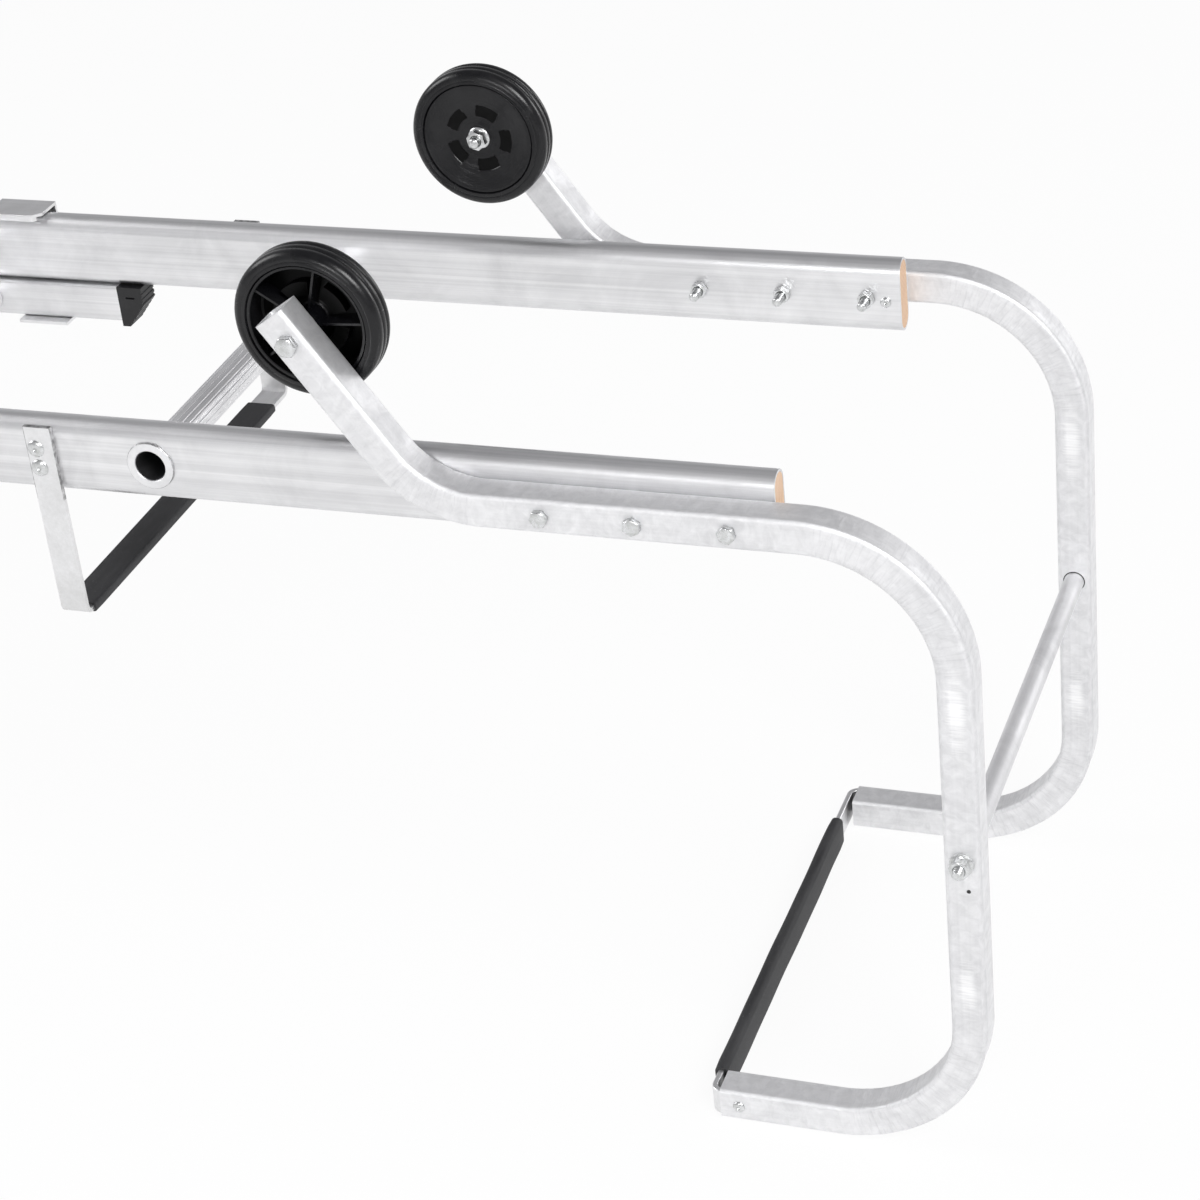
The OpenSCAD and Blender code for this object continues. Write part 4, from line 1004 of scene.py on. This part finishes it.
def sleeve(name, centre, outside, bore, ends, wave):
    """A loose tube along Y. wave is how far its walls wander, in metres."""
    bm = bmesh.new()
    steps, cut_pull = 60, 0.0006
    skins = []
    for size, lively in ((outside, 1), (bore, 0)):
        rows = []
        for k in range(steps + 1):
            y = ends[0] + (ends[1] - ends[0]) * k / steps
            ease = min(1.0, min(k, steps - k) / 2)
            pull = 1 - cut_pull / size[0] * (1 - ease) * lively
            dx = lively * wave * (math.sin(y * 37) + 0.5 * math.sin(y * 91 + 1))
            dz = lively * wave * 0.4 * math.sin(y * 53 + 2)
            rows.append([bm.verts.new((centre[0] + x * pull + dx * 0.5, y,
                                       centre[1] + z * pull + dz * 0.5))
                         for x, z in sleeve_outline(*size)])
        skins.append(rows)
        for a, b in zip(rows, rows[1:]):
            band(bm, a, b)
    for end in (0, -1):
        band(bm, skins[0][end], skins[1][end])
    bmesh.ops.recalc_face_normals(bm, faces=bm.faces)
    return make_object(name, bm, rubber, sharp=50)


# The outside and the bore of each kind: width, height, corner
flat_outside, flat_bore = (0.0252, 0.0075, 0.0025), (0.0212, 0.0035, 0.0008)
ridge_outside, ridge_bore = (0.010, 0.0268, 0.004), (0.0044, 0.0212, 0.0008)
flat_z, flat_ends = 0.00375, (-0.165, 0.145)
ridge_x, ridge_ends, ridge_wave = 0.4555, (-0.1715, 0.1465), 0.0004
for name, node, body, place in (
        ("bearer_rubber", "bearer_sleeve", "upper_section",
         ((strap_x, flat_z), flat_outside, flat_bore, flat_ends, 0.0)),
        ("base_bearer_rubber", "base_bearer_sleeve", "base_section",
         ((base_strap_x, flat_z), flat_outside, flat_bore, flat_ends, 0.0)),
        ("ridge_rubber", "ridge_sleeve", "upper_section",
         ((ridge_x, hook_z), ridge_outside, ridge_bore, ridge_ends, ridge_wave))):
    piece = sleeve(name, *place)
    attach(piece, body)
    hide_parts(node)

# Caps and feet
# Moulded plugs in the open stile ends: hard black plastic at the top of the base section and
# the foot of the upper one, soft ribbed rubber at the feet.


# The skin of moulded black pieces: its grain, and dust in soft patches
moulded_skin, g_in, g_out = new_group(
    "moulded_skin",
    [("Vector", "NodeSocketVector", None), ("Grain Scale", "NodeSocketFloat", 1000)],
    [("Grain", "NodeSocketFloat"), ("Dust", "NodeSocketFloat")])
grain = noise(moulded_skin, g_in.outputs["Vector"], 1, 3)
moulded_skin.links.new(g_in.outputs["Grain Scale"], grain.node.inputs["Scale"])
moulded_skin.links.new(grain, g_out.inputs["Grain"])
moulded_skin.links.new(noise(moulded_skin, g_in.outputs["Vector"], 35, 5, 0.6, 0.8),
                       g_out.inputs["Dust"])


def moulded_black(name, dark, light, rough, grain_scale, depth):
    """light is the tone of the dust, depth the height of the grain in metres."""
    plastic, tree, bsdf = new_material(name)
    skin = new_node(tree, "ShaderNodeGroup", node_tree=moulded_skin)
    skin.inputs["Grain Scale"].default_value = grain_scale
    tree.links.new(place_vector(tree), skin.inputs["Vector"])
    dust = skin.outputs["Dust"]
    tree.links.new(mix_colour(tree, remap(tree, dust, 0.45, 0.75), dark, light),
                   bsdf.inputs["Base Color"])
    tree.links.new(remap(tree, dust, 0.3, 0.7, *rough), bsdf.inputs["Roughness"])
    bumped(tree, skin.outputs["Grain"], depth)
    return plastic


cap_plastic = moulded_black("cap_plastic_black", (0.005, 0.005, 0.006), (0.018, 0.018, 0.019),
                            (0.38, 0.55), 1400, 0.00006)
dress(cap_plastic, "base_top_cap_near", "base_top_cap_far",
      "upper_foot_cap_near", "upper_foot_cap_far")
foot_rubber = moulded_black("foot_rubber_black", (0.020, 0.020, 0.021), (0.062, 0.060, 0.058),
                            (0.55, 0.75), 1200, 0.00010)
dress(foot_rubber, "rubber_foot_near", "rubber_foot_far")

# Wheels
# A hard black moulded centre, open with five ribs on the tube's side and closed by a slotted
# dish on the other, inside a rubber tyre with two grooves round its tread.

wheel_y = 0.1566
wheel_plastic = moulded_black("wheel_plastic_black", (0.004, 0.004, 0.005), (0.012, 0.012, 0.013),
                              (0.12, 0.24), 420, 0.00003)

# The mould was turned, so fine rings round the axle draw each reflection out to a fan.
tree = wheel_plastic.node_tree
bsdf = tree.nodes["Principled BSDF"]
bump = bsdf.inputs["Normal"].links[0].from_node
centred = new_node(tree, "ShaderNodeMapping")
centred.inputs["Location"].default_value = (-axle_x, 0, -axle_z)
tree.links.new(place_vector(tree), centred.inputs["Vector"])
radius = new_node(tree, "ShaderNodeVectorMath", operation="LENGTH")
tree.links.new(scaled(tree, centred.outputs[0], (1, 0, 1)), radius.inputs[0])
ring_vector = new_node(tree, "ShaderNodeCombineXYZ")
tree.links.new(radius.outputs["Value"], ring_vector.inputs["X"])
mould_rings = sums(tree, "MULTIPLY", noise(tree, ring_vector.outputs[0], 2400, 2), 6.0)
moulded_grain = bump.inputs["Height"].links[0].from_socket
tree.links.new(sums(tree, "ADD", moulded_grain, mould_rings), bump.inputs["Height"])

# No light reaches the bottoms of the pockets and the web behind the ribs.
shaded_plastic = moulded_black("wheel_plastic_shaded", (0.002, 0.002, 0.002),
                               (0.006, 0.006, 0.006), (0.30, 0.40), 420, 0.00003)
tyre_rubber = moulded_black("tyre_rubber_black", (0.004, 0.004, 0.005), (0.012, 0.012, 0.013),
                            (0.20, 0.32), 900, 0.00005)
for black, mirroring in ((wheel_plastic, 0.38), (tyre_rubber, 0.38), (shaded_plastic, 0.1)):
    shader = black.node_tree.nodes["Principled BSDF"]
    shader.inputs["Specular IOR Level"].default_value = mirroring


def wheel_place(side):
    """Local +Z points at the tube, along the axle."""
    return (Matrix.Translation((axle_x, side * wheel_y, axle_z))
            @ Matrix.Rotation(-side * math.pi / 2, 4, "X"))


def tyre_outline():
    """Closed outline of the tyre, (radius, height), with a moulded line round its sidewall."""
    inner, outer, half, shoulder = 0.0425, 0.0525, 0.01175, 0.0062
    groove_at, shoulder_turn = 0.003, math.radians(78)
    side = [(inner, half - 0.0012), (inner + 0.0006, half), (outer - shoulder - 0.0012, half),
            (outer - shoulder - 0.0006, half - 0.0003)]
    for i in range(7):
        a = i / 6 * shoulder_turn
        side.append((outer - shoulder + shoulder * math.sin(a),
                     half - shoulder + shoulder * math.cos(a)))
    grooves = [(outer - deep, centre + across) for centre in (groove_at, -groove_at)
               for deep, across in ((0.0, 0.0013), (0.0003, 0.0008), (0.0013, 0.0004),
                                    (0.0013, -0.0004), (0.0003, -0.0008), (0.0, -0.0013))]
    return side + grooves + [(r, -h) for r, h in reversed(side)]


def make_tyre(side):
    bm = bmesh.new()
    outline = tyre_outline()
    open_rings(bm, outline + outline[:1], 128)
    bmesh.ops.remove_doubles(bm, verts=bm.verts, dist=1e-7)
    bmesh.ops.transform(bm, matrix=wheel_place(side), verts=bm.verts)
    bmesh.ops.recalc_face_normals(bm, faces=bm.faces)
    return make_object("grooved_tyre_" + ("far" if side > 0 else "near"), bm, tyre_rubber, 40)


# The centre: radii of its rim, hub and bore, and heights along the axle
rim_out, rim_in, hub_r, axle_bore = 0.0424, 0.0399, 0.0095, 0.0041
free_end, tube_end, hub_low, hub_high = -0.01085, 0.01085, -0.007, 0.0125
dish_sink, web_t = 0.004, 0.0025

# The ribs and the pockets: five of each, and a pocket's half width in degrees
spokes, centre_steps = 5, 360
spoke_pitch = 360 / spokes
pocket_in, pocket_out, pocket_half, pocket_deep, shaded_from = 0.0185, 0.0255, 21.0, 0.0078, 0.0095


def dish_height(r):
    """The free side of the centre: the hub's end, the sunk dish and the rim."""
    if r <= 0.0089:
        return hub_low
    if r < 0.0097:
        return hub_low + 0.0002
    if r < rim_in:
        return free_end + dish_sink * (1 - ((r - hub_r) / (rim_in - hub_r)) ** 1.6)
    return free_end + (0.0006 if r > 0.042 else 0.0)


def pocket_share(r, off):
    """How far a point is sunk into a pocket, 0 to 1. off is its angle from the pocket's middle."""
    if not pocket_in < r < pocket_out:
        return 0.05 if off < 20.5 and pocket_in - 0.0002 < r < pocket_out + 0.0002 else 0.0
    middle, half = (pocket_in + pocket_out) / 2, (pocket_out - pocket_in) / 2
    round_off = 0.0018 * (abs(r - middle) / half) ** 4
    return max(0.0, min(1.0, (pocket_half - math.degrees(round_off / r) - off) / 0.9))


def free_side(bm, way, turn):
    """The side away from the tube, as a height field round the axle."""
    radii = [0.0041, 0.0088, 0.0095, 0.0098, 0.012, 0.0150, 0.0180, 0.0184, 0.0186, 0.0200, 0.0220,
             0.0240, 0.0254, 0.0256, 0.0260, 0.029, 0.033, 0.037, 0.0393, 0.0404, 0.0418, 0.0424]
    grid = []
    for r in radii:
        row = []
        for i in range(centre_steps):
            angle = 360 * i / centre_steps
            off = abs((way * angle - turn) % spoke_pitch - spoke_pitch / 2)
            row.append(bm.verts.new((r * math.cos(math.radians(angle)),
                                     r * math.sin(math.radians(angle)),
                                     dish_height(r) + pocket_share(r, off) * pocket_deep)))
        grid.append(row)
    for a, b in zip(grid, grid[1:]):
        for i in range(centre_steps):
            k = (i + 1) % centre_steps
            face = bm.faces.new((a[i], b[i], b[k], a[k]))
            if min(v.co.z for v in face.verts) > free_end + shaded_from:
                face.material_index = 1


def pocket_backs(bm, way, turn):
    """The pockets' walls and bottoms, as the tube's side shows them between the ribs."""
    near_axle, far_out, start, bottom = 0.0170, 0.0270, free_end + 0.003, free_end + 0.0122
    for i in range(spokes):
        middle = way * (turn + spoke_pitch * (i + 0.5))
        angles = [math.radians(middle + d) for d in (-23.5, -20, -12, -4, 4, 12, 20, 23.5)]
        ring = [(near_axle, a) for a in angles] + [(far_out, a) for a in reversed(angles)]
        rows = [[bm.verts.new((r * math.cos(a), r * math.sin(a), height)) for r, a in ring]
                for height in (start, bottom)]
        band(bm, *rows)
        bm.faces.new(rows[1])
        bm.faces.new(rows[0][::-1])


def ribs(bm, way, turn):
    """Five ribs from the hub to the rim, tapered towards their free edge."""
    for i in range(spokes):
        a = math.radians(way * (turn + spoke_pitch * i))
        out, across = Vector((math.cos(a), math.sin(a), 0)), Vector((-math.sin(a), math.cos(a), 0))
        corners = [out * r + across * thick * s + Vector((0, 0, h))
                   for r in (hub_r - 0.001, rim_in + 0.0002)
                   for h, thick in ((free_end + web_t + 0.002, 0.0012), (tube_end - 0.0025, 0.0008))
                   for s in (1, -1)]
        v = [bm.verts.new(c) for c in corners]
        for face in ((0, 2, 3, 1), (4, 5, 7, 6), (0, 1, 5, 4), (2, 6, 7, 3), (0, 4, 6, 2),
                     (1, 3, 7, 5)):
            bm.faces.new([v[n] for n in face])


def make_centre(side, turn):
    """turn is the angle of the first rib, from +X towards +Z."""
    bm = bmesh.new()
    way = -side
    free_side(bm, way, turn)
    outside = set(bm.faces)

    # from the rim's outer edge round the inside and back to the bore
    hub_web = free_end + dish_sink + web_t
    inside = [(rim_out, free_end + 0.0006), (rim_out, tube_end - 0.0006),
              (rim_out - 0.0005, tube_end), (rim_in + 0.0005, tube_end), (rim_in, tube_end - 0.0006),
              (rim_in - 0.0002, free_end + web_t + 0.0012), (rim_in - 0.0014, free_end + web_t),
              (hub_r + 0.0012, hub_web), (hub_r + 0.0001, hub_web + 0.0010),
              (hub_r, hub_high - 0.0007), (hub_r - 0.0007, hub_high),
              (axle_bore + 0.0005, hub_high), (axle_bore, hub_high - 0.0005), (axle_bore, hub_low)]
    open_rings(bm, inside, centre_steps)
    pocket_backs(bm, way, turn)
    for face in bm.faces:
        middle = face.calc_center_median()
        if face not in outside and hub_r + 0.001 < math.hypot(middle.x, middle.y) < rim_in - 0.001:
            face.material_index = 1
    ribs(bm, way, turn)
    bmesh.ops.remove_doubles(bm, verts=bm.verts, dist=1e-7)
    bmesh.ops.transform(bm, matrix=wheel_place(side), verts=bm.verts)
    bmesh.ops.recalc_face_normals(bm, faces=bm.faces)
    centre = make_object("ribbed_centre_" + ("far" if side > 0 else "near"), bm, wheel_plastic, 35)
    centre.data.materials.append(shaded_plastic)
    return centre


for side_name, side, turn in (("near", -1, 3), ("far", 1, 32)):
    centre = make_centre(side, turn)
    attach(centre, "wheel_" + side_name)
    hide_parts("wheel_centre_" + side_name)
    tyre = make_tyre(side)
    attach(tyre, "wheel_" + side_name)
    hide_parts("tyre_" + side_name)

# Stay hooks
# Zinc-plated steel plates on shouldered rivets, with a round bar between them.

stay_metal = mill_metal("stay_metal", (0.64, 0.65, 0.66), (0.48, 0.49, 0.50), (0.30, 0.42),
                        turn=(0, math.pi / 2, 0), scratches=0.6, lines=0.3)
dress(stay_metal, "stay_hook_near", "stay_hook_far", "stay_tie_rod")
dress(zinc, "stay_pivots")
